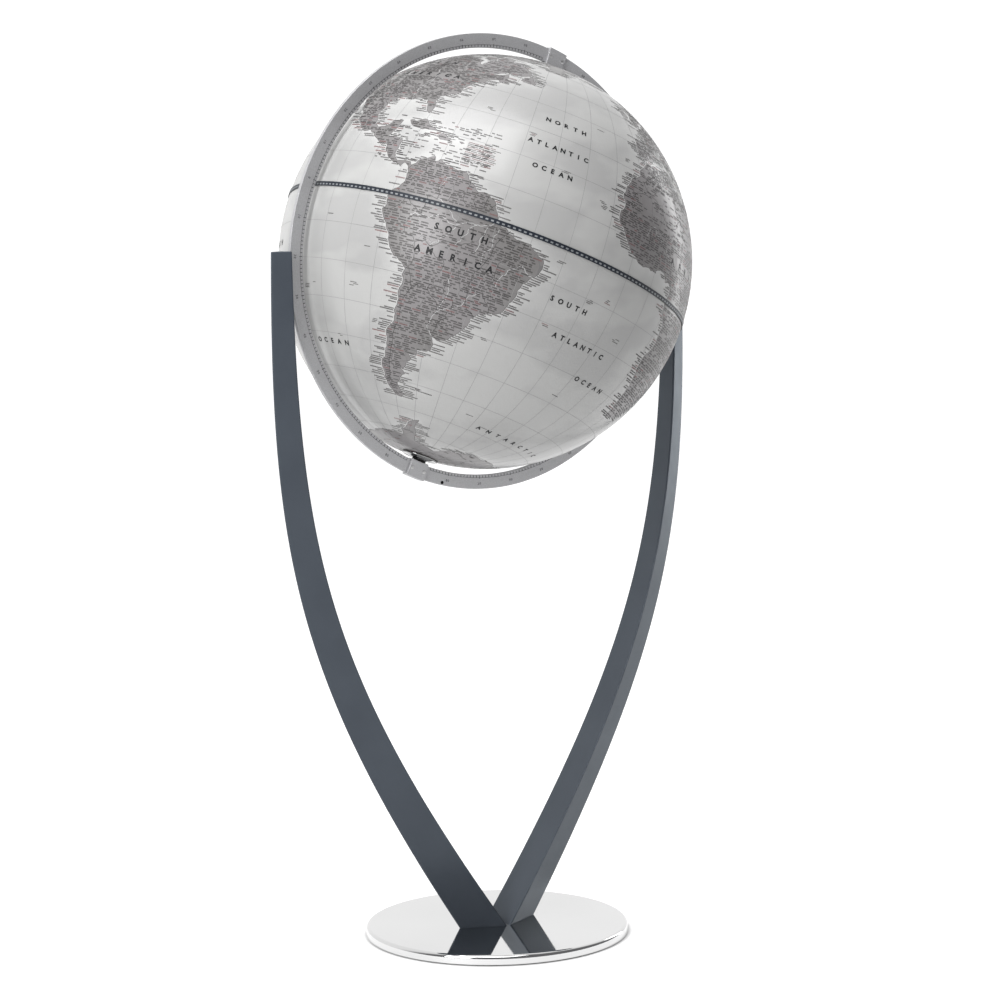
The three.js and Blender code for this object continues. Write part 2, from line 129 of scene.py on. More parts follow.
class Look:
    """A node-based material: fixed sockets first, then variation laid over them."""

    def __init__(self, name, color, roughness, metallic=0.0, **fixed):
        self.material = bpy.data.materials.new(name)
        self.material.use_nodes = True
        self.tree = self.material.node_tree
        self.shader = self.tree.nodes["Principled BSDF"]
        self.shader.inputs["Base Color"].default_value = (*color, 1)
        self.shader.inputs["Roughness"].default_value = roughness
        self.shader.inputs["Metallic"].default_value = metallic
        for socket, value in fixed.items():
            self.shader.inputs[socket.replace("_", " ")].default_value = value

    def add(self, kind, **values):
        node = self.tree.nodes.new(kind)
        for name, value in values.items():
            if name in node.inputs:
                node.inputs[name].default_value = value
            else:
                setattr(node, name, value)
        return node

    def link(self, out, into):
        self.tree.links.new(out, into)

    def place(self, stretch=(1, 1, 1)):
        coordinates = self.add("ShaderNodeTexCoord")
        mapping = self.add("ShaderNodeMapping")
        mapping.inputs["Scale"].default_value = stretch
        self.link(coordinates.outputs["Object"], mapping.inputs["Vector"])
        return mapping.outputs["Vector"]

    def noise(self, scale, detail=3.0, stretch=(1, 1, 1)):
        node = self.add("ShaderNodeTexNoise", Scale=scale, Detail=detail)
        self.link(self.place(stretch), node.inputs["Vector"])
        return node.outputs["Fac"]

    def vary_color(self, dark, light, scale, detail=3.0, stretch=(1, 1, 1), low=0.35, high=0.65):
        ramp = self.add("ShaderNodeValToRGB")
        ramp.color_ramp.elements[0].position = low
        ramp.color_ramp.elements[0].color = (*dark, 1)
        ramp.color_ramp.elements[1].position = high
        ramp.color_ramp.elements[1].color = (*light, 1)
        self.link(self.noise(scale, detail, stretch), ramp.inputs["Fac"])
        self.link(ramp.outputs["Color"], self.shader.inputs["Base Color"])
        return ramp.outputs["Color"]

    def vary_roughness(self, low, high, scale, stretch=(1, 1, 1)):
        span = self.add("ShaderNodeMapRange")
        span.inputs["To Min"].default_value = low
        span.inputs["To Max"].default_value = high
        self.link(self.noise(scale, 4.0, stretch), span.inputs["Value"])
        self.link(span.outputs["Result"], self.shader.inputs["Roughness"])

    def grain(self, scale, distance, strength=0.5, stretch=(1, 1, 1)):
        bump = self.add("ShaderNodeBump", Strength=strength, Distance=distance)
        self.link(self.noise(scale, 4.0, stretch), bump.inputs["Height"])
        self.link(bump.outputs["Normal"], self.shader.inputs["Normal"])


def grey(value, tint=(1, 1, 1)):
    return tuple(value * part for part in tint)


def chrome_look(name="polished_chrome", shine=0.64):
    look = Look(name, grey(shine, (1, 1, 1.01)), 0.04, 1.0)
    look.vary_color(grey(shine - 0.02), grey(shine + 0.02), 6, 2)
    look.vary_roughness(0.025, 0.07, 30)
    look.grain(60, 0.02 * MM, 0.06)
    return look.material


def satin_metal_look():
    look = Look("satin_grey_metal", grey(0.33, (1, 1, 1.01)), 0.42, 0.55)
    look.vary_color(grey(0.37, (1, 1, 1.02)), grey(0.43, (1, 1, 1.03)), 900, 2)
    look.vary_roughness(0.36, 0.5, 300)
    look.grain(2500, 0.02 * MM, 0.25)
    return look.material


def leg_paint_look():
    look = Look("slate_satin_paint", (0.038, 0.044, 0.056), 0.4, 0.35, Specular_Tint=(0.86, 0.94, 1, 1))
    look.vary_color((0.037, 0.044, 0.056), (0.044, 0.052, 0.065), 14, 4)
    look.vary_roughness(0.38, 0.47, 40)
    look.grain(1800, 0.03 * MM, 0.25)
    return look.material


def steel_look():
    look = Look("machined_steel", grey(0.5), 0.35, 1.0)
    look.vary_color(grey(0.42), grey(0.56), 180, 3, (1, 1, 8))
    look.vary_roughness(0.28, 0.42, 220)
    look.grain(900, 0.02 * MM, 0.3, (1, 1, 6))
    return look.material


def black_look():
    look = Look("black_oxide", grey(0.006), 0.8, Specular_IOR_Level=0.12)
    look.vary_color(grey(0.006), grey(0.012), 300)
    look.grain(1500, 0.02 * MM, 0.3)
    return look.material


def nylon_look():
    look = Look("natural_nylon", (0.72, 0.7, 0.63), 0.5, Subsurface_Weight=0.1)
    look.vary_color((0.68, 0.66, 0.6), (0.76, 0.74, 0.68), 120)
    look.grain(800, 0.02 * MM, 0.3)
    return look.material


def pad_look():
    look = Look("dark_felt", grey(0.02), 0.95, Sheen_Weight=0.3)
    look.vary_color(grey(0.014), grey(0.03), 700, 5)
    look.grain(1600, 0.15 * MM, 0.6)
    return look.material


def sea_look():
    """Silvery sea: soft brushed patches, paler along the coasts."""
    look = Look(
        "map_sea", grey(0.4), 0.34,
        Specular_IOR_Level=0.4, Coat_Weight=0.12, Coat_Roughness=0.12,
    )
    patches = look.vary_color((0.31, 0.31, 0.307), (0.355, 0.355, 0.35), 10, 3, (1, 1, 1.8), 0.45, 0.55)
    shore = look.add("ShaderNodeAttribute", attribute_name="shore")
    mix = look.add("ShaderNodeMix", data_type="RGBA")
    look.link(shore.outputs["Fac"], mix.inputs["Factor"])
    look.link(patches, mix.inputs["A"])
    mix.inputs["B"].default_value = (0.4, 0.4, 0.396, 1)
    look.link(mix.outputs["Result"], look.shader.inputs["Base Color"])
    look.vary_roughness(0.26, 0.34, 25)
    look.grain(700, 0.01 * MM, 0.15)
    return look.material


def land_look():
    """Warm grey land, tinted by region, with fine district lines."""
    look = Look(
        "map_land", grey(0.2), 0.4,
        Specular_IOR_Level=0.35, Coat_Weight=0.1, Coat_Roughness=0.12,
    )
    tint = look.vary_color((0.15, 0.145, 0.143), (0.18, 0.172, 0.174), 13, 2, (1, 1, 1), 0.42, 0.58)
    cells = look.add("ShaderNodeTexVoronoi", feature="DISTANCE_TO_EDGE", Scale=42)
    look.link(look.place(), cells.inputs["Vector"])
    edge = look.add("ShaderNodeMapRange")
    edge.inputs["From Min"].default_value = 0.004
    edge.inputs["From Max"].default_value = 0.016
    edge.inputs["To Min"].default_value = 1
    edge.inputs["To Max"].default_value = 0
    look.link(cells.outputs["Distance"], edge.inputs["Value"])
    mix = look.add("ShaderNodeMix", data_type="RGBA")
    look.link(edge.outputs["Result"], mix.inputs["Factor"])
    look.link(tint, mix.inputs["A"])
    mix.inputs["B"].default_value = (0.13, 0.126, 0.126, 1)
    look.link(mix.outputs["Result"], look.shader.inputs["Base Color"])
    look.vary_roughness(0.3, 0.38, 25)
    look.grain(700, 0.01 * MM, 0.15)
    return look.material


def ink_look(name, dark, light):
    look = Look(name, dark, 0.5, Specular_IOR_Level=0.3)
    look.vary_color(dark, light, 60, 3)
    look.grain(900, 0.005 * MM, 0.1)
    return look.material


LOOKS = {
    "chrome": chrome_look(),
    # Painted shade: the pole cups get a copy of the chrome at far lower reflectance, darkened to stand in for the
    # shade they sit in.
    "shaded_chrome": chrome_look("shaded_chrome", 0.26),
    "satin_metal": satin_metal_look(),
    "leg_paint": leg_paint_look(),
    "steel": steel_look(),
    "aluminium": steel_look(),
    "black_metal": black_look(),
    "black_plastic": black_look(),
    "nylon": nylon_look(),
    "pad": pad_look(),
    "map_print": sea_look(),
    "seam_band": ink_look("band_navy", (0.006, 0.009, 0.015), (0.01, 0.014, 0.022)),
    "land": land_look(),
    "label_ink": ink_look("label_ink", (0.03, 0.027, 0.027), (0.055, 0.05, 0.05)),
    "red_ink": ink_look("label_red", (0.11, 0.045, 0.047), (0.17, 0.08, 0.08)),
    "name_ink": ink_look("name_ink", (0.004, 0.004, 0.005), (0.01, 0.01, 0.011)),
    "grid_ink": ink_look("grid_ink", (0.2, 0.2, 0.2), (0.24, 0.24, 0.24)),
    "border_ink": ink_look("border_ink", (0.07, 0.067, 0.067), (0.095, 0.09, 0.09)),
    "river_ink": ink_look("river_ink", (0.34, 0.34, 0.34), (0.4, 0.4, 0.4)),
    "band_light": ink_look("band_light", (0.15, 0.16, 0.17), (0.21, 0.22, 0.23)),
    "number_ink": ink_look("number_ink", (0.11, 0.11, 0.115), (0.15, 0.15, 0.155)),
    "scale_ink": ink_look("scale_ink", (0.05, 0.05, 0.053), (0.075, 0.075, 0.08)),
}

# ---- Piece helpers --------------------------------------------------------------------------


def make_piece(name, body, points, faces, looks, indices=None, replaces=(), smooth=True):
    mesh = bpy.data.meshes.new(name)
    mesh.from_pydata([tuple(point) for point in points], [], faces)
    for look in looks:
        mesh.materials.append(LOOKS[look])
    if indices is not None:
        mesh.polygons.foreach_set("material_index", indices)
    mesh.polygons.foreach_set("use_smooth", [smooth] * len(mesh.polygons))
    mesh.update()
    piece = bpy.data.objects.new(name, mesh)
    bpy.context.scene.collection.objects.link(piece)
    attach(piece, body)
    if replaces:
        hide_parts(*replaces)
    return piece


def sharpen(piece, angle=35):
    """Keeps edges sharper than an angle crisp while the rest stays smooth."""
    mesh = bmesh.new()
    mesh.from_mesh(piece.data)
    for edge in mesh.edges:
        if len(edge.link_faces) == 2 and edge.calc_face_angle(0) > math.radians(angle):
            edge.smooth = False
    mesh.to_mesh(piece.data)
    mesh.free()


def flatten_shading(piece):
    """Keeps wide faces evenly lit up to their rounded edges."""
    weigh = piece.modifiers.new("even_faces", "WEIGHTED_NORMAL")
    weigh.keep_sharp = True


def rounded(corners, steps=4):
    """Corners are (x, y, radius): each one with a radius is replaced by an arc-like curve."""
    path = []
    count = len(corners)
    for k, (x, y, radius) in enumerate(corners):
        here = Vector((x, y))
        if radius == 0:
            path.append(here)
            continue
        before = Vector(corners[k - 1][:2]) - here
        after = Vector(corners[(k + 1) % count][:2]) - here
        start = here + before.normalized() * min(radius, before.length * 0.49)
        end = here + after.normalized() * min(radius, after.length * 0.49)
        for step in range(steps + 1):
            t = step / steps
            path.append(start * (1 - t) ** 2 + here * 2 * t * (1 - t) + end * t ** 2)
    return path


def tube_faces(rings, count):
    """Four-sided faces between rings that each hold the same number of points."""
    faces = []
    for ring in range(rings - 1):
        for k in range(count):
            a = ring * count + k
            b = ring * count + (k + 1) % count
            faces.append([a, b, b + count, a + count])
    return faces


def band_section(inner, outer, half_thickness, softness):
    """A ring's section, as (radius, depth), with its four corners softened."""
    return rounded([
        (inner, -half_thickness, softness),
        (outer, -half_thickness, softness),
        (outer, half_thickness, softness),
        (inner, half_thickness, softness),
    ])


def lathe(path, sides, place, hexes=()):
    """Turns a (radius, height) path about Z. Points of the path in hexes get a six-sided ring."""
    points, rows = [], []
    for k, (radius, height) in enumerate(path):
        if radius < 1e-7:
            rows.append([len(points)])
            points.append(place @ Vector((0, 0, height)))
            continue
        row = []
        for side in range(sides):
            angle = math.tau * side / sides
            reach = radius
            if k in hexes:
                sector = math.pi / 3
                reach = radius * math.cos(sector / 2) / math.cos(angle % sector - sector / 2)
            row.append(len(points))
            points.append(place @ Vector((reach * math.cos(angle), reach * math.sin(angle), height)))
        rows.append(row)
    faces = []
    for low, high in zip(rows, rows[1:]):
        for side in range(sides):
            after = (side + 1) % sides
            below = [low[side % len(low)], low[after % len(low)]]
            above = [high[after % len(high)], high[side % len(high)]]
            loop = list(dict.fromkeys(below + above))
            if len(loop) > 2:
                faces.append(loop)
    return points, faces


def closed_lathe(corners, sides, place):
    path = rounded(corners)
    points, faces = lathe(path + [path[0]], sides, place)
    count = len(points) // (len(path) + 1)
    last = len(path) * count
    faces = [[index - last if index >= last else index for index in face] for face in faces]
    return points[:last], faces


def swept_arc(section, start, end, steps, place):
    """Sweeps a closed (radius, depth) section round the Y axis, between two angles from +X."""
    points = []
    count = len(section)
    for step in range(steps + 1):
        angle = start + (end - start) * step / steps
        for radius, depth in section:
            points.append(place @ Vector((radius * math.cos(angle), depth, radius * math.sin(angle))))
    faces = tube_faces(steps + 1, count)
    faces.append(list(range(count))[::-1])
    faces.append([steps * count + k for k in range(count)])
    return points, faces


def outward(piece):
    mesh = bmesh.new()
    mesh.from_mesh(piece.data)
    bmesh.ops.recalc_face_normals(mesh, faces=mesh.faces)
    mesh.to_mesh(piece.data)
    mesh.free()
    return piece


def facing(place, direction):
    """A matrix that stands +Z along a direction at a place."""
    turn = Vector(direction).to_track_quat("Z", "Y").to_matrix().to_4x4()
    return Matrix.Translation(place) @ turn


# ---- Base -----------------------------------------------------------------------------------


def make_base():
    wall = 1.5 * MM
    edge = 4 * MM
    corners = [
        (0, BASE_TOP, 0),
        (BASE_RADIUS, BASE_TOP, edge),
        (BASE_RADIUS, BASE_SKIRT, 0.5 * MM),
        (BASE_RADIUS - wall, BASE_SKIRT, 0.5 * MM),
        (BASE_RADIUS - wall, BASE_TOP - wall, edge - wall),
        (0, BASE_TOP - wall, 0),
    ]
    path = rounded(corners, 12)
    points, faces = lathe(path, 192, Matrix.Identity(4))
    cover = make_piece(
        "base_cover_shell", "stand", points, faces, ["chrome"],
        replaces=["base_cover"],
    )
    sharpen(outward(cover))
    flatten_shading(cover)


# ---- Legs -----------------------------------------------------------------------------------


def leg_curve(share):
    """Place and direction on the right leg's inner face at a share of the curve's parameter."""
    height = LEG_BEND_TOP - BASE_TOP
    ends = [
        Vector((LEG_FOOT_GAP / 2, 0, BASE_TOP)),
        Vector((LEG_FACE, 0, LEG_BEND_TOP)),
    ]
    lean = Vector((math.sin(LEG_FOOT_LEAN), 0, math.cos(LEG_FOOT_LEAN)))
    handles = [
        ends[0] + lean * height * LEG_FOOT_PULL,
        ends[1] - Vector((0, 0, height * LEG_TOP_PULL)),
    ]
    rest = 1 - share
    place = ends[0] * rest**3 + handles[0] * 3 * rest**2 * share
    place += handles[1] * 3 * rest * share**2 + ends[1] * share**3
    along = (handles[0] - ends[0]) * rest**2 + (handles[1] - handles[0]) * 2 * rest * share
    along += (ends[1] - handles[1]) * share**2
    return place, along.normalized()


def leg_section(place, along, side, inset, corner):
    """A three-sided section with softened corners, drawn in by an inset."""
    outward_way = Vector((along.z, 0, -along.x))
    small = side - inset * 2 * math.sqrt(3)
    start = place + outward_way * inset
    flat = [
        (-small / 2, 0, corner),
        (small / 2, 0, corner),
        (0, small * SECTION_DEPTH, corner),
    ]
    return [start + Vector((0, across, 0)) + outward_way * out for across, out in rounded(flat, 4)]


def leg_stations(steps=160):
    """Places, directions and sides up the right leg: the curve, then the straight top."""
    stations = [leg_curve(k / steps) for k in range(steps + 1)]
    stations.append((Vector((LEG_FACE, 0, LEG_TOP)), Vector((0, 0, 1))))
    lengths = [0.0]
    for (before, _), (here, _) in zip(stations, stations[1:]):
        lengths.append(lengths[-1] + (here - before).length)
    narrowing = (LEG_TOP_SIDE - LEG_FOOT_SIDE) / lengths[-1]
    return [
        (place, along, LEG_FOOT_SIDE + narrowing * length)
        for (place, along), length in zip(stations, lengths)
    ]


def leg_rings():
    stations = leg_stations()
    foot, lean, side = stations[0]
    rings = [leg_section(foot - lean * side, lean, side, 0, LEG_CORNER)]
    rings += [leg_section(place, along, side, 0, LEG_CORNER) for place, along, side in stations[:-1]]
    top, along, side = stations[-1]
    for inset, drop in ((0, 0.7), (0.12, 0.35), (0.35, 0.12), (0.7, 0)):
        rings.append(leg_section(top - along * drop * MM, along, side, inset * MM, LEG_CORNER))
    return rings


def trim_foot(leg):
    """Cuts the leg level just above the base and closes the cut."""
    mesh = bmesh.new()
    mesh.from_mesh(leg.data)
    cut = bmesh.ops.bisect_plane(
        mesh,
        geom=mesh.verts[:] + mesh.edges[:] + mesh.faces[:],
        plane_co=(0, 0, BASE_TOP + FOOT_LIFT),
        plane_no=(0, 0, -1),
        clear_outer=True,
    )
    rim = [item for item in cut["geom_cut"] if isinstance(item, bmesh.types.BMEdge)]
    bmesh.ops.contextual_create(mesh, geom=rim)
    mesh.to_mesh(leg.data)
    mesh.free()


def make_leg(name, sign):
    rings = leg_rings()
    points = [Vector((sign * point.x, point.y, point.z)) for ring in rings for point in ring]
    count = len(rings[0])
    faces = tube_faces(len(rings), count)
    faces.append(list(range(count)))
    faces.append([(len(rings) - 1) * count + k for k in range(count)])
    side_name = "right_leg" if sign > 0 else "left_leg"
    leg = make_piece(name, "stand", points, faces, ["leg_paint"], replaces=[side_name])
    trim_foot(leg)
    sharpen(outward(leg))
    flatten_shading(leg)


# ---- Meridian ring --------------------------------------------------------------------------

SOCKET_END = 4 * MM


def make_ring_half(sign):
    section = band_section(RING_INNER, RING_OUTER, RING_HALF_THICKNESS, 0.5 * MM)
    end = math.pi / 2 - (SOCKET_END + CLEARANCE) / RING_MIDDLE
    turn = Matrix.Identity(4) if sign > 0 else Matrix.Rotation(math.pi, 4, "Y")
    points, faces = swept_arc(section, -end, end, 240, AXIS_TO_ROW @ turn)
    side = "right" if sign > 0 else "left"
    half = make_piece(
        f"ring_{side}", "meridian", points, faces, ["satin_metal"],
        replaces=[f"meridian_half_{side}"],
    )
    sharpen(outward(half))
    flatten_shading(half)


def make_pole_block(pole, sign):
    section = band_section(BLOCK_INNER, BLOCK_OUTER, BLOCK_HALF_THICKNESS, 0.7 * MM)
    reach = BLOCK_HALF_LENGTH / RING_MIDDLE
    middle = sign * math.pi / 2
    points, faces = swept_arc(section, middle - reach, middle + reach, 12, AXIS_TO_ROW)
    block = make_piece(
        f"{pole}_block_body", "meridian", points, faces, ["satin_metal"],
        replaces=[f"{pole}_pole_block"],
    )
    outward(block)
    bevel = block.modifiers.new("edges", "BEVEL")
    bevel.width = 0.4 * MM
    bevel.segments = 3
    bevel.limit_method = "ANGLE"
    bevel.angle_limit = math.radians(60)
    flatten_shading(block)


def make_block_screws(pole, sign):
    depth = -BLOCK_HALF_THICKNESS - HEAD_RISE
    for side, word in ((-1, "left"), (1, "right")):
        angle = math.pi / 2 - side * BLOCK_SCREW_PLACE / RING_MIDDLE
        head = AXIS_TO_ROW @ Vector((
            RING_MIDDLE * math.cos(angle), depth, sign * RING_MIDDLE * math.sin(angle),
        ))
        node = f"{pole}_block_screw_{word}"
        make_socket_screw(f"{pole}_{word}_screw_head", head, 1.8 * MM, "meridian", node, "steel")


def make_socket_screw(name, head, radius, body, node, look):
    """A small button head facing -Y with a six-sided socket."""
    path = [
        (0, -SOCKET_DEPTH),
        (0.5 * radius, -SOCKET_DEPTH),
        (0.52 * radius, -0.02 * radius),
        (0.8 * radius, 0),
        (0.95 * radius, -0.08 * radius),
        (radius, -0.3 * radius),
        (radius, -0.9 * radius),
        (0, -0.9 * radius),
    ]
    points, faces = lathe(path, 36, facing(head, (0, -1, 0)), hexes=(1, 2))
    screw = make_piece(name, body, points, faces, [look], replaces=[node])
    sharpen(outward(screw))


def make_stop_screw():
    angle = -math.pi / 2 + 8.5 * DEGREE
    radius = RING_OUTER - 2.6 * MM
    head = AXIS_TO_ROW @ Vector((
        radius * math.cos(angle), -RING_HALF_THICKNESS - HEAD_RISE, radius * math.sin(angle),
    ))
    make_socket_screw("stop_screw_head", head, 1.7 * MM, "meridian", "meridian_stop_screw", "black_metal")


# ---- Pole cups ------------------------------------------------------------------------------


def make_cup(pole, sign):
    """A shallow chromed bowl: its lip hugs the ball and its flank sweeps in to a neck."""
    place = AXIS_TO_ROW @ Matrix.Scale(sign, 4, (0, 0, 1))
    rim = 18 * MM
    neck = 7.5 * MM
    top = BLOCK_INNER - CLEARANCE - WASHER_THICKNESS - CLEARANCE
    seat = BALL + 0.15 * MM
    rim_height = math.sqrt(seat**2 - rim**2)
    inner_height = math.sqrt(seat**2 - AXIS_BORE**2)
    middle = 12 * MM
    corners = [
        (AXIS_BORE, inner_height, 0),
        (middle, math.sqrt(seat**2 - middle**2), 0),
        (rim - 0.4 * MM, rim_height + 0.1 * MM, 0.3 * MM),
        (rim, rim_height + 0.5 * MM, 0.5 * MM),
        (rim, rim_height + 1.5 * MM, 0.6 * MM),
        (rim - 1.6 * MM, rim_height + 1.9 * MM, 0.6 * MM),
        (rim - 2.4 * MM, rim_height + 1.2 * MM, 0.8 * MM),
        (12.5 * MM, rim_height + 1.7 * MM, 2 * MM),
        (9.5 * MM, top - 0.9 * MM, 1.2 * MM),
        (neck + 0.2 * MM, top - 0.5 * MM, 0.4 * MM),
        (neck - 0.4 * MM, top, 0.3 * MM),
        (AXIS_BORE, top, 0),
    ]
    points, faces = closed_lathe(corners, 96, place)
    # The cup takes the darkened copy of the chrome: painted shade.
    cup = make_piece(
        f"{pole}_cup", "globe", points, faces, ["shaded_chrome"],
        replaces=[f"{pole}_pole_cup"],
    )
    sharpen(outward(cup), 50)


def make_thrust_washer(pole, sign):
    place = AXIS_TO_ROW @ Matrix.Scale(sign, 4, (0, 0, 1))
    high = BLOCK_INNER - CLEARANCE
    low = high - WASHER_THICKNESS
    corners = [
        (AXIS_BORE, low, 0.2 * MM),
        (WASHER_RADIUS, low, 0.3 * MM),
        (WASHER_RADIUS, high, 0.3 * MM),
        (AXIS_BORE, high, 0.2 * MM),
    ]
    points, faces = closed_lathe(corners, 64, place)
    washer = make_piece(
        f"{pole}_washer", "meridian", points, faces, ["black_plastic"],
        replaces=[f"{pole}_thrust_washer"],
    )
    sharpen(outward(washer))


# ---- The map: coast outlines in degrees of longitude and latitude ---------------------------

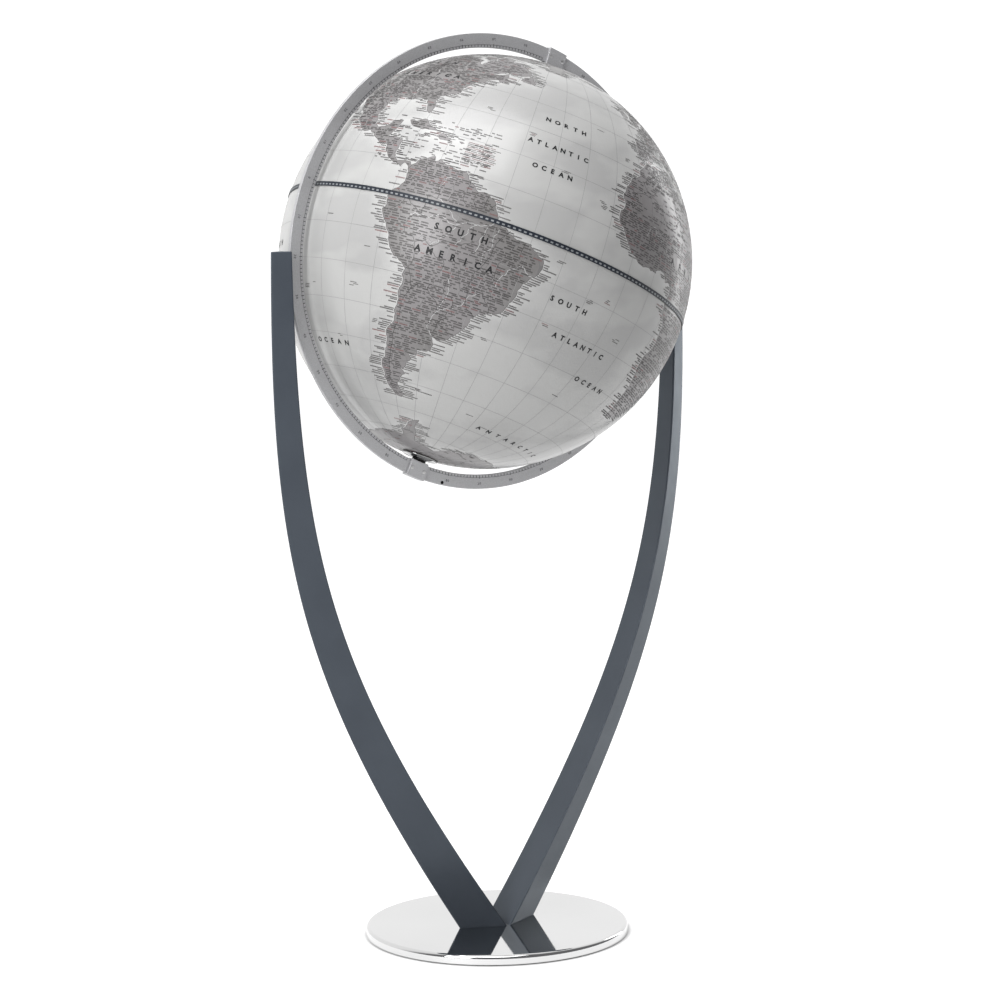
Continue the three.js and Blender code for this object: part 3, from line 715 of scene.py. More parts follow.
SPIN = math.radians(-72.8)
COASTS = {
    "americas": [
        (-77.5, 8.5), (-75.5, 10.7), (-74, 11.2), (-71.7, 12.4), (-71.3, 11), (-70, 12.1), (-68.3, 11),
        (-66, 10.6), (-64.3, 10.2), (-62, 10.7), (-61, 9.5), (-60.5, 8.5), (-58.5, 7.2), (-57.2, 6),
        (-54, 5.9), (-51.7, 4.3), (-50.5, 2), (-50, 0), (-48.5, -1), (-47.5, -0.8), (-44.5, -2.5),
        (-41.5, -2.9), (-38.5, -3.8), (-37, -4.8), (-35.4, -5.2), (-34.8, -7.5), (-35.2, -9.2),
        (-37, -11), (-38.4, -13), (-39, -15), (-39.2, -17.7), (-40.2, -20), (-41, -22), (-43.2, -23),
        (-46.8, -24.3), (-48.5, -25.9), (-48.6, -28.2), (-50.2, -30.3), (-52.2, -32.5), (-53.8, -34.3),
        (-56.2, -34.9), (-58.4, -34.2), (-57.2, -36.2), (-57.6, -38.1), (-60.5, -38.9), (-62.2, -39.2),
        (-62.1, -40.9), (-64.9, -41), (-63.7, -42.3), (-65.2, -43.5), (-65.6, -45), (-67.5, -46.2),
        (-65.8, -47.6), (-67.8, -50), (-69, -51.5), (-68.4, -52.4), (-65.2, -54.7), (-67.3, -55.9),
        (-71, -54.8), (-73.5, -52.6), (-75, -50.5), (-75.5, -47), (-74.2, -44), (-73.8, -41.8),
        (-73.5, -39.5), (-73.6, -37.2), (-71.7, -33.5), (-71.6, -30), (-70.7, -26.5), (-70.3, -22),
        (-70.3, -18.4), (-72.5, -16.8), (-76.2, -13.9), (-77.2, -12), (-78.8, -8.5), (-80.5, -6.2),
        (-81.3, -4.5), (-80.3, -3.3), (-80.9, -1), (-80, 0.8), (-78.8, 1.6), (-77.3, 3.8), (-77.5, 6.5),
        (-77.9, 7.3), (-79.5, 8.9), (-80.4, 7.4), (-82.9, 8.3), (-83.7, 8.7), (-85.7, 10), (-87.5, 13),
        (-91.5, 14), (-94.5, 16.2), (-99.5, 16.7), (-102, 18), (-105.5, 20.3), (-105.6, 22.5),
        (-108.8, 25.5), (-112.5, 30), (-114.7, 31.8), (-112.8, 28.4), (-110.3, 24.3), (-110, 23),
        (-112.2, 25.2), (-115, 28), (-115.8, 30.3), (-117.2, 32.6), (-120.6, 34.6), (-122.5, 37.5),
        (-124.3, 40.4), (-124.1, 43.7), (-124.5, 48.3), (-122.6, 48.5), (-127.8, 52), (-130.3, 54.5),
        (-133.5, 57.5), (-139.5, 59.6), (-146, 60.7), (-148.5, 60), (-151.8, 59.3), (-151, 61.2),
        (-153.8, 59), (-158, 56.6), (-164, 54.7), (-160, 56), (-157.5, 58.7), (-162, 58.7), (-162, 60),
        (-166, 61.7), (-164.6, 63.2), (-161, 64.3), (-166.4, 64.6), (-168, 65.6), (-162, 66.3),
        (-166.5, 68.3), (-163, 69.5), (-156.6, 71.3), (-150, 70.5), (-141, 69.7), (-135, 69),
        (-128, 70.3), (-124, 70), (-115, 68), (-109, 68), (-101, 68), (-95.5, 68), (-94, 71.8),
        (-91, 69.5), (-86, 67), (-81.5, 69), (-82, 67), (-86, 66), (-87, 64), (-93, 62), (-94.6, 59),
        (-92.5, 57), (-88, 56.5), (-82.3, 55.2), (-82, 53), (-79, 51.3), (-79.5, 54.7), (-76.5, 57),
        (-78.5, 59), (-77.5, 62.5), (-73.5, 62.4), (-70, 61), (-69.5, 59), (-65.5, 59.5), (-64, 60.3),
        (-61.5, 57), (-57.5, 54.6), (-55.7, 52.3), (-60, 50.2), (-66.5, 50.2), (-70, 47), (-65, 48.9),
        (-64.5, 46.3), (-60, 46), (-63.5, 44.6), (-65.8, 43.6), (-67, 44.8), (-70.2, 43.6),
        (-70.7, 42.6), (-70, 41.8), (-72, 41.2), (-74, 40.6), (-75.2, 38.5), (-76, 37), (-75.6, 35.2),
        (-78, 33.9), (-81, 32), (-81.3, 30), (-80.1, 27), (-80.4, 25.2), (-81.8, 26), (-82.8, 28),
        (-84, 30), (-85.5, 29.8), (-88, 30.3), (-89.3, 29.2), (-91.5, 29.5), (-94.5, 29.5),
        (-97.2, 27.7), (-97.6, 25), (-97.8, 22.2), (-96.3, 19.3), (-94.5, 18.2), (-92, 18.6),
        (-90.6, 19.8), (-90.3, 21), (-87, 21.5), (-87.5, 19.5), (-88.2, 17), (-88.9, 15.9), (-86, 15.9),
        (-83.2, 15), (-83.5, 12.5), (-83.7, 11), (-82, 9), (-79.8, 9.5), (-78, 9.4),
    ],
    "africa": [
        (-5.9, 35.8), (-2.9, 35.3), (0, 35.9), (5, 36.8), (10, 37.3), (11, 36.9), (10.2, 34.2),
        (11.5, 33.2), (15.3, 32.3), (19, 30.3), (20.1, 32.2), (22, 32.9), (25, 31.6), (29, 30.9),
        (31, 31.6), (32.5, 31.2), (32.6, 29.9), (34, 27), (35.6, 24), (37.2, 21), (37.4, 18.7),
        (39.3, 15.7), (43.2, 12.4), (43.3, 11.5), (44.5, 10.4), (51.2, 11.9), (50.8, 9.5), (48, 4.5),
        (44.5, 1.5), (41.5, -1.8), (39.5, -4.5), (38.8, -6.3), (39.5, -9), (40.5, -11), (40.7, -15),
        (36.9, -17.9), (34.8, -20), (35.4, -23.8), (32.7, -25.9), (32.8, -28), (30.5, -31), (27, -33.6),
        (23, -34), (20, -34.8), (18.4, -34.1), (18.2, -31.8), (16.5, -28.6), (14.5, -23), (11.8, -18),
        (13.6, -12.5), (13, -8.5), (12, -5), (9.5, -2.5), (9.4, 0.5), (9.8, 3.5), (8.5, 4.6), (6, 4.3),
        (4, 6.4), (1, 6), (-2, 4.8), (-4.5, 4.9), (-7.6, 4.9), (-11.3, 6.8), (-13.3, 9), (-15, 11),
        (-16.8, 12.5), (-17.5, 14.7), (-16.3, 17), (-16.3, 19.5), (-17, 21), (-15.9, 23.8), (-13, 27.7),
        (-10, 29.5), (-9.7, 31.5), (-6.8, 34),
    ],
    "eurasia": [
        (-5.6, 36.1), (-9, 37), (-9.4, 38.7), (-8.8, 41.5), (-9.2, 43.2), (-3.8, 43.5), (-1.5, 43.5),
        (-1.2, 46), (-4.5, 48), (-1.5, 48.7), (-1.5, 49.7), (1.5, 50.2), (2.5, 51.2), (4.5, 52.5),
        (7, 53.5), (8.7, 54), (8.2, 56), (10.5, 57.6), (10.3, 56), (10.8, 54.2), (14, 54), (18.5, 54.7),
        (21, 55.2), (21.5, 57.3), (24, 57.2), (23.5, 59.2), (28, 59.6), (30, 60), (25, 60.2), (22.5, 60),
        (21.3, 62), (25, 65), (22, 65.8), (17.3, 61.7), (18.8, 60), (16.6, 57.5), (14.3, 55.5),
        (12.8, 55.5), (11.2, 58.5), (10.5, 59.3), (8, 58), (5.5, 59), (5, 61.8), (10, 64), (14, 67.3),
        (18, 69.5), (25, 71), (30.5, 70), (41, 67.5), (40, 66.3), (34.5, 66.5), (35, 64.3), (38, 64),
        (40.5, 64.6), (43.5, 66.2), (44, 68.5), (54, 68.5), (60, 69), (68, 68.5), (67, 72), (72.5, 72.8),
        (73, 68), (75, 72), (80, 73.5), (87, 75), (98, 76), (104, 77.5), (113, 74), (127, 73),
        (140, 72.5), (152, 71), (160, 69.7), (170, 69.8), (180, 69), (190, 66), (185, 64.5), (179, 62.5),
        (170, 60), (163.5, 59.8), (162, 57.8), (163, 56), (160, 53.3), (156.7, 51), (156, 57), (161, 60),
        (164, 62.5), (157, 61.5), (155, 59.2), (143, 59.3), (135.5, 54.7), (141, 52.5), (140, 48.5),
        (135.5, 44), (132, 43.2), (129.7, 41), (127.5, 39.5), (129.4, 37), (129, 35.2), (126.5, 34.5),
        (126.5, 37.5), (125, 39.7), (121.5, 39), (121.5, 40.8), (118, 39), (119, 37.3), (122.5, 37),
        (119.3, 35), (121.8, 32), (121.5, 30), (120, 27), (117, 23.6), (113.5, 22.2), (110, 21.3),
        (108, 21.7), (106, 19.5), (107, 16.8), (109.3, 13.5), (109, 11.5), (106.8, 10.2), (104.8, 8.7),
        (105, 10.3), (102.5, 12), (100.9, 13.4), (99.5, 11), (100.3, 8.3), (103, 5.5), (104.2, 1.4),
        (101, 3.2), (98.5, 8), (98.5, 12), (97.6, 16.3), (94.4, 16), (94.5, 18.5), (92, 21.5), (90, 22),
        (87, 21.4), (85, 19.6), (82.2, 16.8), (80.2, 15), (80, 12), (79.8, 10.3), (77.5, 8), (76.2, 10),
        (74.8, 13), (73, 17.5), (72.8, 20.5), (70.8, 20.9), (69, 22.3), (67, 24.8), (61.5, 25.2),
        (57.3, 25.7), (56.3, 27.1), (51.5, 27.8), (50, 30.2), (48, 30), (50, 26.7), (51.5, 25.9),
        (51.6, 24.2), (54, 24.2), (56.4, 26.3), (56.6, 24.5), (59.8, 22.5), (57.8, 18.9), (55, 17),
        (52, 15.6), (45, 12.8), (43.4, 12.7), (42.7, 16.5), (39, 21), (35.2, 28), (34.9, 29.5),
        (32.9, 30.1), (32.8, 31.1), (34.3, 31.3), (35.8, 34.5), (36, 36.8), (32.5, 36.1), (30.5, 36.6),
        (27.3, 37), (26.2, 39.4), (26, 40.8), (23.7, 40.5), (22.8, 40.3), (24, 38), (22.9, 36.6),
        (21.5, 37.5), (20, 40), (19.4, 42), (15, 44.5), (13.7, 45.6), (12.4, 44.8), (13.8, 43),
        (16, 41.8), (18.4, 40), (16.8, 40.5), (16.5, 38.8), (15.7, 38), (15.2, 40), (12.3, 41.8),
        (10.3, 43.2), (8.8, 44.4), (6, 43.1), (3.2, 43.2), (3.2, 41.9), (0, 40), (0, 38.6), (-0.7, 37.7),
        (-2, 36.8),
    ],
    "black_sea": [
        (28, 41.5), (28.2, 43.5), (30.7, 46.2), (33.5, 44.6), (35, 45), (38.3, 46.8), (37.5, 44.7),
        (41.5, 42), (38, 41), (35, 42), (31, 41.3),
    ],
    "caspian": [
        (49, 46), (53, 46.5), (51.5, 43.5), (53.8, 40.8), (53.8, 37), (50, 37.4), (49, 40.5), (47.5, 43),
    ],
    "greenland": [
        (-45, 60), (-51, 64), (-54, 67), (-51, 69.5), (-55, 71), (-58.5, 75.3), (-68, 76), (-72, 78.5),
        (-60, 81.8), (-35, 83.5), (-12, 81.5), (-18, 79), (-20, 75), (-22, 72), (-23, 70.2), (-32, 68),
        (-39.5, 65.5), (-42.5, 61),
    ],
    "iceland": [
        (-24, 65.5), (-16, 66.5), (-13.7, 65), (-18.8, 63.4), (-22.6, 63.9),
    ],
    "britain": [
        (-5.5, 50.1), (1.4, 51.2), (1.7, 52.7), (-2, 55.8), (-1.9, 57.6), (-3.2, 58.6), (-5, 58.6),
        (-5.7, 56.5), (-3, 54.2), (-4.5, 53.1), (-5.2, 51.8), (-3, 51.4),
    ],
    "ireland": [
        (-6.2, 52.3), (-6, 54), (-7.3, 55.3), (-10, 54.2), (-10.3, 52), (-8.5, 51.6),
    ],
    "baffin": [
        (-61.5, 66.6), (-64.5, 63), (-71, 63.5), (-77, 65), (-73, 68), (-81, 70), (-89, 71), (-88, 73.5),
        (-80, 73.7), (-72, 71.3), (-66.5, 68.7),
    ],
    "ellesmere": [
        (-90, 77), (-78, 76.3), (-62, 82.3), (-72, 83.2), (-90, 81.5),
    ],
    "victoria": [
        (-117, 69.8), (-105, 69.2), (-105, 73), (-115, 73.3), (-118, 71.5),
    ],
    "newfoundland": [
        (-55.8, 51.5), (-53, 47), (-59.2, 47.7),
    ],
    "cuba": [
        (-84.8, 21.9), (-80.5, 23.1), (-74.3, 20.2), (-77.5, 19.9),
    ],
    "hispaniola": [
        (-74.4, 18.4), (-72.8, 19.9), (-68.4, 18.6), (-71, 17.8),
    ],
    "jamaica": [
        (-78.3, 18.3), (-76.3, 18.1), (-77.2, 17.8),
    ],
    "puerto_rico": [
        (-67.2, 18.4), (-65.7, 18.3), (-66.4, 17.9),
    ],
    "trinidad": [
        (-61.8, 10.7), (-61, 10.7), (-61.2, 10.1),
    ],
    "falklands": [
        (-61, -51.4), (-58, -51.4), (-60, -52.2),
    ],
    "madagascar": [
        (49.3, -12.2), (50.3, -15.7), (47.2, -25), (45, -25.5), (43.3, -22), (44.4, -16.3), (47, -15.3),
    ],
    "australia": [
        (113.7, -22.5), (114.2, -26.3), (115.7, -32), (115.2, -34.3), (118.5, -35), (124, -33),
        (131, -31.5), (135.5, -34.8), (138, -33), (138, -35.6), (140.5, -38), (144, -38.5), (146.4, -39),
        (150, -37.3), (151.5, -33), (153.5, -28.5), (152.5, -25), (149, -21), (146, -19), (145.4, -15.5),
        (143.5, -14), (142.5, -10.8), (141.5, -13), (140.8, -17.5), (138, -16.8), (135.5, -14.9),
        (136.8, -12.2), (132.5, -11.4), (130.5, -12.6), (129, -15), (126, -14), (122.3, -18),
        (118, -20.3),
    ],
    "tasmania": [
        (144.8, -40.8), (148.2, -40.9), (147, -43.5),
    ],
    "north_zealand": [
        (172.7, -34.5), (178.4, -37.7), (175.3, -41.6), (173.8, -39.3),
    ],
    "south_zealand": [
        (172.7, -40.6), (174.3, -41.7), (170.5, -45.9), (168.5, -46.6), (166.5, -46), (170.5, -43),
    ],
    "new_guinea": [
        (131, -0.8), (134.2, -0.8), (138, -1.6), (144.5, -3.9), (147.8, -6.5), (150.7, -10.5),
        (147, -9.5), (143, -9.2), (138, -8.3), (138, -5.5), (133, -4), (132, -2.8),
    ],
    "borneo": [
        (109, 1.5), (111.5, 2.7), (116.8, 7), (119, 4.9), (117.5, 1), (116, -4), (111.8, -3.4),
        (110, -1.3),
    ],
    "sulawesi": [
        (119, -3), (119.8, 0.8), (125, 1.5), (120.5, -0.5), (122.5, -4.5), (120, -5.5),
    ],
    "sumatra": [
        (95.3, 5.6), (98.5, 3.7), (104, -1.5), (106, -5.8), (104.5, -5.8), (100.3, -1), (97.5, 1.5),
    ],
    "java": [
        (105.3, -6.8), (108.5, -6.7), (114.4, -7.7), (114.4, -8.7), (108, -7.8),
    ],
    "luzon": [
        (120.5, 18.5), (122.3, 18.3), (121.8, 14.5), (124, 12.8), (120.5, 14.2),
    ],
    "mindanao": [
        (122, 7), (125.5, 9.8), (126.4, 6.5), (124, 6),
    ],
    "taiwan": [
        (120.1, 23), (121.6, 25.2), (121, 22),
    ],
    "ceylon": [
        (80, 9.7), (81.8, 7.5), (80.5, 6), (79.8, 7.5),
    ],
    "honshu": [
        (130.9, 34), (136, 35.7), (140, 40.5), (141.5, 41.3), (142, 39.5), (140.8, 35.7), (135.8, 33.5),
    ],
    "kyushu": [
        (130, 33.5), (131.8, 33.2), (131, 31.2), (130.2, 31.5),
    ],
    "hokkaido": [
        (140.2, 41.8), (141.7, 45.4), (145.5, 43.3), (143.2, 42),
    ],
    "sakhalin": [
        (142, 46.5), (142, 54), (143, 54), (143.5, 49), (143.5, 46.7),
    ],
    "svalbard": [
        (11, 79.5), (25, 80.3), (22, 78), (16, 76.8),
    ],
    "novaya": [
        (52, 71.5), (57, 74.5), (68, 76.8), (60, 75), (57.5, 71),
    ],
    "sicily": [
        (12.5, 38), (15.6, 38.2), (15, 36.8),
    ],
    "sardinia": [
        (8.3, 40.9), (9.7, 40.9), (9.3, 39.1), (8.5, 39.1),
    ],
    "crete": [
        (23.6, 35.4), (26.2, 35.2), (24.8, 34.9),
    ],
}
ICE_EDGE = [
    (-180, -78), (-165, -78.5), (-150, -77.5), (-125, -74), (-100, -73), (-72, -73), (-65, -67),
    (-57, -63.3), (-60, -67), (-60, -75), (-35, -78), (-15, -73), (0, -70.3), (15, -69.8), (40, -69.5),
    (55, -66.3), (70, -69.5), (80, -68), (95, -66.5), (115, -66.5), (135, -66.2), (150, -68.5),
    (170, -72), (165, -78), (180, -78),
]
BORDERS = [
    [(-77.9, 7.3), (-77.2, 8.4)],
    [(-71.7, 12), (-73, 9.2), (-72.4, 7.3), (-70, 6.9), (-67.5, 6.2), (-67.4, 3.5), (-66.9, 1.2)],
    [(-66.9, 1.2), (-64, 1.6), (-63.4, 3.9), (-60.9, 4.8), (-60, 4.9), (-60, 8.4)],
    [(-60.6, 4.9), (-59.8, 2.3), (-58.8, 1.3), (-56.5, 1.9), (-54.6, 2.3), (-52.8, 2.2), (-51.7, 4.2)],
    [(-57.2, 5.9), (-57.6, 3.4), (-56.5, 1.9)],
    [(-54, 5.7), (-54.4, 4), (-54.6, 2.3)],
    [(-66.9, 1.2), (-69.8, 1.7), (-69.5, -0.6), (-69.9, -4.2), (-72.6, -5), (-73.9, -7.3)],
    [(-73.9, -7.3), (-72.9, -9.4), (-70.6, -9.6), (-69.6, -11), (-66.8, -10), (-65.3, -10.9)],
    [(-65.3, -10.9), (-65.3, -12), (-60.4, -13.8), (-60.2, -16.3), (-58.3, -16.3), (-57.7, -18)],
    [(-57.7, -18), (-58.1, -20), (-57.8, -22.1), (-55.7, -22.3), (-54.6, -24), (-54.6, -25.6)],
    [(-54.6, -25.6), (-53.8, -27.1), (-57.6, -30.2), (-55.6, -30.9), (-53.2, -32.7)],
    [(-57.6, -30.2), (-58.2, -33)],
    [(-57.8, -22.1), (-62.3, -20.6), (-62.7, -22.2), (-58.6, -27.3), (-55.8, -27.4), (-54.6, -25.6)],
    [(-62.7, -22.2), (-66.2, -21.8), (-67.3, -22.9), (-68.3, -24.5), (-69.5, -28.4), (-70, -33.3)],
    [(-70, -33.3), (-71.1, -38), (-71.8, -43), (-72.2, -48.5), (-72, -51.9), (-68.6, -52.4)],
    [(-67.3, -22.9), (-68.2, -21.3), (-69.5, -17.5), (-68.8, -14), (-69.6, -11)],
    [(-69.5, -17.5), (-70.3, -18.3)],
    [(-69.9, -4.2), (-71.5, -2.6), (-75.3, -0.2), (-77.6, 0.6), (-78.8, 1.5)],
    [(-75.3, -0.2), (-76.6, -2.6), (-78.4, -4), (-80.2, -4.3)],
    [(-60, -3), (-56, -2), (-54.5, -7), (-58, -8.5), (-61.5, -8.8), (-65.3, -10.9)],
    [(-46, -1.2), (-48.5, -5.5), (-50.5, -13), (-46, -14.5), (-45.8, -9.5), (-41.5, -7.5), (-41.4, -3)],
    [(-50.5, -13), (-52.5, -18.5), (-48, -18.3), (-44.4, -22.9)],
    [(-52.5, -18.5), (-51.5, -22.5), (-48.2, -25.2)],
    [(-123, 49), (-95, 49), (-88, 48.2), (-83, 46), (-82.5, 42), (-79, 43.5), (-75, 45), (-67.8, 47)],
    [(-117, 32.6), (-111, 31.4), (-106.5, 31.7), (-103, 29), (-99.5, 27.5), (-97.3, 26)],
    [(-141, 69.6), (-141, 60.3), (-130, 56)],
    [(-8.6, 27.6), (-4.8, 25), (-12, 23.4), (-13, 21.3), (-17, 21.3)],
    [(-4.8, 25), (1.2, 21.1), (3.2, 19), (5.8, 19.5), (11.9, 23.5), (15, 23), (24, 19.5), (24, 31.5)],
    [(-8.6, 27.6), (-2, 32), (-1.8, 35)],
    [(11.9, 23.5), (9.4, 26.2), (9, 32), (8.3, 36.8)],
    [(25, 22), (36.8, 22)],
    [(-12.2, 14.8), (-5.5, 15.5), (-5, 11.2), (0.2, 14.9), (3.6, 11.7), (13.6, 13.7), (14, 12)],
    [(14, 12), (15, 7.5), (18.5, 4), (27.4, 5), (31, 3.7), (34, 4.2), (35.9, 4.6)],
    [(12.3, -5.9), (16.6, -6), (22, -8), (24, -11), (22, -13), (22, -16.2), (24, -17.6), (12, -17.2)],
    [(29.6, -1.3), (30.5, -8.3), (32.9, -9.4), (34.5, -11.6), (40.4, -10.5)],
    [(20, -18), (20, -28.4), (16.5, -28.6)],
    [(20, -24.8), (25.6, -25.6), (29.4, -22.2), (31.3, -22.4), (32, -26.8)],
    [(3.1, 42.5), (-1.8, 43.4)],
    [(7.5, 43.8), (7, 46), (8, 48.9), (6.2, 50), (4, 51.2)],
    [(8, 48.9), (13, 48.3), (14.3, 51), (14.4, 53.9)],
    [(13, 48.3), (17, 48.5), (22, 48.4), (24, 51.8), (23.6, 54), (28, 56), (28, 59.4)],
    [(28.5, 69.8), (30, 62), (28, 60.6)],
    [(50, 51.5), (61, 51), (61.5, 54), (71, 54), (80, 51), (87.5, 49.2), (98, 50.3), (108, 49.4)],
    [(108, 49.4), (116, 49.8), (121, 53.3), (127.5, 50), (134.7, 48.3), (131, 43)],
    [(87.5, 49.2), (80, 42.2), (74, 38), (79, 31), (88, 27.6), (97.3, 28), (101.5, 21.4), (108, 21.6)],
    [(74, 38), (66.5, 29.8), (61.5, 25.3)],
    [(26.5, 41.7), (29, 41.2)],
    [(42, 37.2), (46, 35), (48, 30.2)],
    [(129, -31.5), (129, -15)],
    [(138, -16.8), (138, -26), (141, -26), (141, -38)],
    [(141, -29), (152, -28.5)],
]

RIVERS = [
    [(-50.5, -0.3), (-54.5, -2.3), (-58.5, -3.2), (-62, -4), (-65.5, -2.8), (-69.9, -4), (-73, -4.5)],
    [(-60, -3.2), (-63, -0.5), (-67, 1.2)],
    [(-58.8, -3.4), (-62, -7.5), (-65.3, -10.9)],
    [(-54.7, -2.5), (-57, -6), (-58.5, -9)],
    [(-51.8, -1.6), (-52.5, -5), (-53.5, -9.5)],
    [(-48.8, -1.6), (-49.3, -6), (-50.8, -12)],
    [(-62, 8.8), (-66.5, 7.5), (-67.5, 4)],
    [(-58.4, -34), (-60.5, -31.5), (-58.8, -27.4), (-54.6, -25.6), (-51, -20.5), (-48, -18.8)],
    [(-58.6, -27.2), (-57.6, -24), (-57.7, -18)],
    [(-36.5, -10.5), (-40.5, -8.6), (-43.3, -11), (-45, -16)],
    [(-89.5, 29.2), (-91, 33), (-89.5, 37), (-91, 43), (-94, 47)],
    [(31, 31.2), (31, 27), (33, 22), (32, 16), (33, 10), (31.5, 4)],
    [(6, 4.5), (6, 9), (1, 14), (-3, 16.8), (-6, 13)],
    [(12.5, -6), (17, -2), (22, 2), (25.5, 0), (26, -8)],
]


def sphere_points(places, radius):
    """Rows of (longitude, latitude) to a ball of a radius, placed in the scene."""
    turn = np.radians(places[:, 0]) + SPIN
    rise = np.radians(places[:, 1])
    flat = np.cos(rise)
    local = np.stack([flat * np.cos(turn), flat * np.sin(turn), np.sin(rise)], 1) * radius
    turned = np.array(AXIS_TO_ROW.to_3x3())
    return local @ turned.T + np.array(CENTRE)


def roughen(path, closed, longest, sway, seed):
    """Splits each stretch in two until it is short, with a small sideways jog each time."""
    chance = random.Random(seed)
    loop = list(path) + ([path[0]] if closed else [])
    result = []
    for start, end in zip(loop, loop[1:]):
        result += jog(start, end, longest, sway, chance)[:-1]
    if not closed:
        result.append(loop[-1])
    return result


def jog(start, end, longest, sway, chance):
    shrink = max(0.15, math.cos(math.radians(start[1])))
    across = (end[0] - start[0]) * shrink
    rise = end[1] - start[1]
    if math.hypot(across, rise) < longest:
        return [start, end]
    push = chance.uniform(-sway, sway)
    middle = (
        (start[0] + end[0]) / 2 - rise * push / shrink,
        (start[1] + end[1]) / 2 + across * push,
    )
    before = jog(start, middle, longest, sway, chance)
    after = jog(middle, end, longest, sway, chance)
    return before + after[1:]


SHORES = [roughen(path, True, 1.1, 0.16, 100 + k) for k, path in enumerate(COASTS.values())]
ICE = roughen(ICE_EDGE, False, 1.6, 0.14, 90)
SHORES.append(ICE + [(180, -90), (-180, -90)])


def shore_edges():
    starts, ends = [], []
    for shift in (-360, 0, 360):
        for path in SHORES:
            for start, end in zip(path, path[1:] + path[:1]):
                starts.append((start[0] + shift, start[1]))
                ends.append((end[0] + shift, end[1]))
    return np.array(starts), np.array(ends)


EDGE_STARTS, EDGE_ENDS = shore_edges()


def on_land(places):
    """True for each (longitude, latitude) inside an odd number of outlines."""
    inside = np.zeros(len(places), bool)
    x, y = places[:, 0], places[:, 1]
    for (ax, ay), (bx, by) in zip(EDGE_STARTS, EDGE_ENDS):
        if ay == by:
            continue
        crosses = (ay > y) != (by > y)
        inside ^= crosses & (x < ax + (y - ay) * (bx - ax) / (by - ay))
    return inside


def grid_places(low, high, step):
    places = []
    rows = max(1, round((high - low) / step))
    for row in range(rows + 1):
        latitude = low + (high - low) * row / rows
        around = max(24, round(360 * math.cos(math.radians(latitude)) / step))
        places += [(-180 + 360 * k / around, latitude) for k in range(around + 1)]
    return places


def map_triangles(low, high):
    """Triangles over a belt of latitude, split along every coast. Returns places and triangles."""
    points = grid_places(low, high, 2.2)
    edges = []
    for shift in (-360, 0, 360):
        for path in SHORES[:-1] + [ICE]:
            closed = path is not ICE
            placed = [(x + shift, y) for x, y in path]
            near = any(-180 < x < 180 and low - 3 < y < high + 3 for x, y in placed)
            if not near:
                continue
            first = len(points)
            points += placed
            edges += [(first + k, first + k + 1) for k in range(len(placed) - 1)]
            if closed:
                edges.append((first + len(placed) - 1, first))
    corners = [(-180, low), (180, low), (180, high), (-180, high)]
    first = len(points)
    points += corners
    edges += [(first + k, first + (k + 1) % 4) for k in range(4)]
    found = delaunay_2d_cdt([Vector(point) for point in points], edges, [], 0, 1e-6)
    places = np.array([tuple(point) for point in found[0]])
    triangles = np.array([face for face in found[2] if len(face) == 3])
    middles = places[triangles].mean(1)
    kept = (abs(middles[:, 0]) < 180) & (middles[:, 1] > low) & (middles[:, 1] < high)
    return places, triangles[kept], on_land(middles[kept])


def weld(places, triangles, land):
    """Joins the two edges of the belt where the longitudes meet."""
    keys = {}
    turned = np.where(places[:, 0] > 180 - 1e-5, places[:, 0] - 360, places[:, 0])
    moved = np.zeros(len(places), int)
    unique = []
    for k, (x, y) in enumerate(zip(turned, places[:, 1])):
        key = (round(x, 5), round(y, 5))
        if key not in keys:
            keys[key] = len(unique)
            unique.append((x, y))
        moved[k] = keys[key]
    joined = moved[triangles]
    whole = (joined[:, 0] != joined[:, 1]) & (joined[:, 1] != joined[:, 2]) & (joined[:, 0] != joined[:, 2])
    used, compact = np.unique(joined[whole], return_inverse=True)
    return np.array(unique)[used], compact.reshape(-1, 3), land[whole]


def shore_closeness(places):
    """1 on a coast, falling away to 0 some degrees out to sea."""
    coast = np.concatenate([np.array(path) for path in SHORES[:-1] + [ICE]])
    spots = sphere_points(coast, 1.0)
    here = sphere_points(places, 1.0)
    closeness = np.zeros(len(here))
    for start in range(0, len(here), 2000):
        batch = here[start:start + 2000]
        gap = np.sqrt(((batch[:, None, :] - spots[None, :, :]) ** 2).sum(2).min(1))
        closeness[start:start + 2000] = np.exp(-np.degrees(gap) / 1.6)
    return closeness


SPLIT_HALF = math.degrees(0.15 * MM / BALL)
BORE_LATITUDE = 90 - math.degrees(3.9 * MM / BALL)


def make_shell(pole, sign):
    """One printed hemisphere with its wall: outer map, inner face and the rims between."""
    low, high = (SPLIT_HALF, BORE_LATITUDE) if sign > 0 else (-BORE_LATITUDE, -SPLIT_HALF)
    places, triangles, land = weld(*map_triangles(low, high))
    count = len(places)
    outer = sphere_points(places, BALL)
    inner = sphere_points(places, BALL - BALL_WALL)
    sides = np.concatenate([triangles[:, [0, 1]], triangles[:, [1, 2]], triangles[:, [2, 0]]])
    present = {tuple(side) for side in sides}
    rim = [(a, b) for a, b in present if (b, a) not in present]
    faces = triangles.tolist()
    faces += (triangles[:, ::-1] + count).tolist()
    faces += [[b, a, a + count, b + count] for a, b in rim]
    indices = np.zeros(len(faces), int)
    indices[:len(triangles)] = land
    points = np.concatenate([outer, inner])
    shell = make_piece(
        f"{pole}_map_shell", "globe", points, faces, ["map_print", "land"], indices,
        replaces=[f"{pole}_hemisphere"],
    )
    normals = (points - np.array(CENTRE)) / np.linalg.norm(points - np.array(CENTRE), axis=1)[:, None]
    normals[count:] *= -1
    shell.data.normals_split_custom_set_from_vertices(normals.tolist())
    shore = shell.data.attributes.new("shore", "FLOAT", "POINT")
    closeness = shore_closeness(places)
    shore.data.foreach_set("value", np.concatenate([closeness, closeness]))


# ---- Print on the ball ----------------------------------------------------------------------


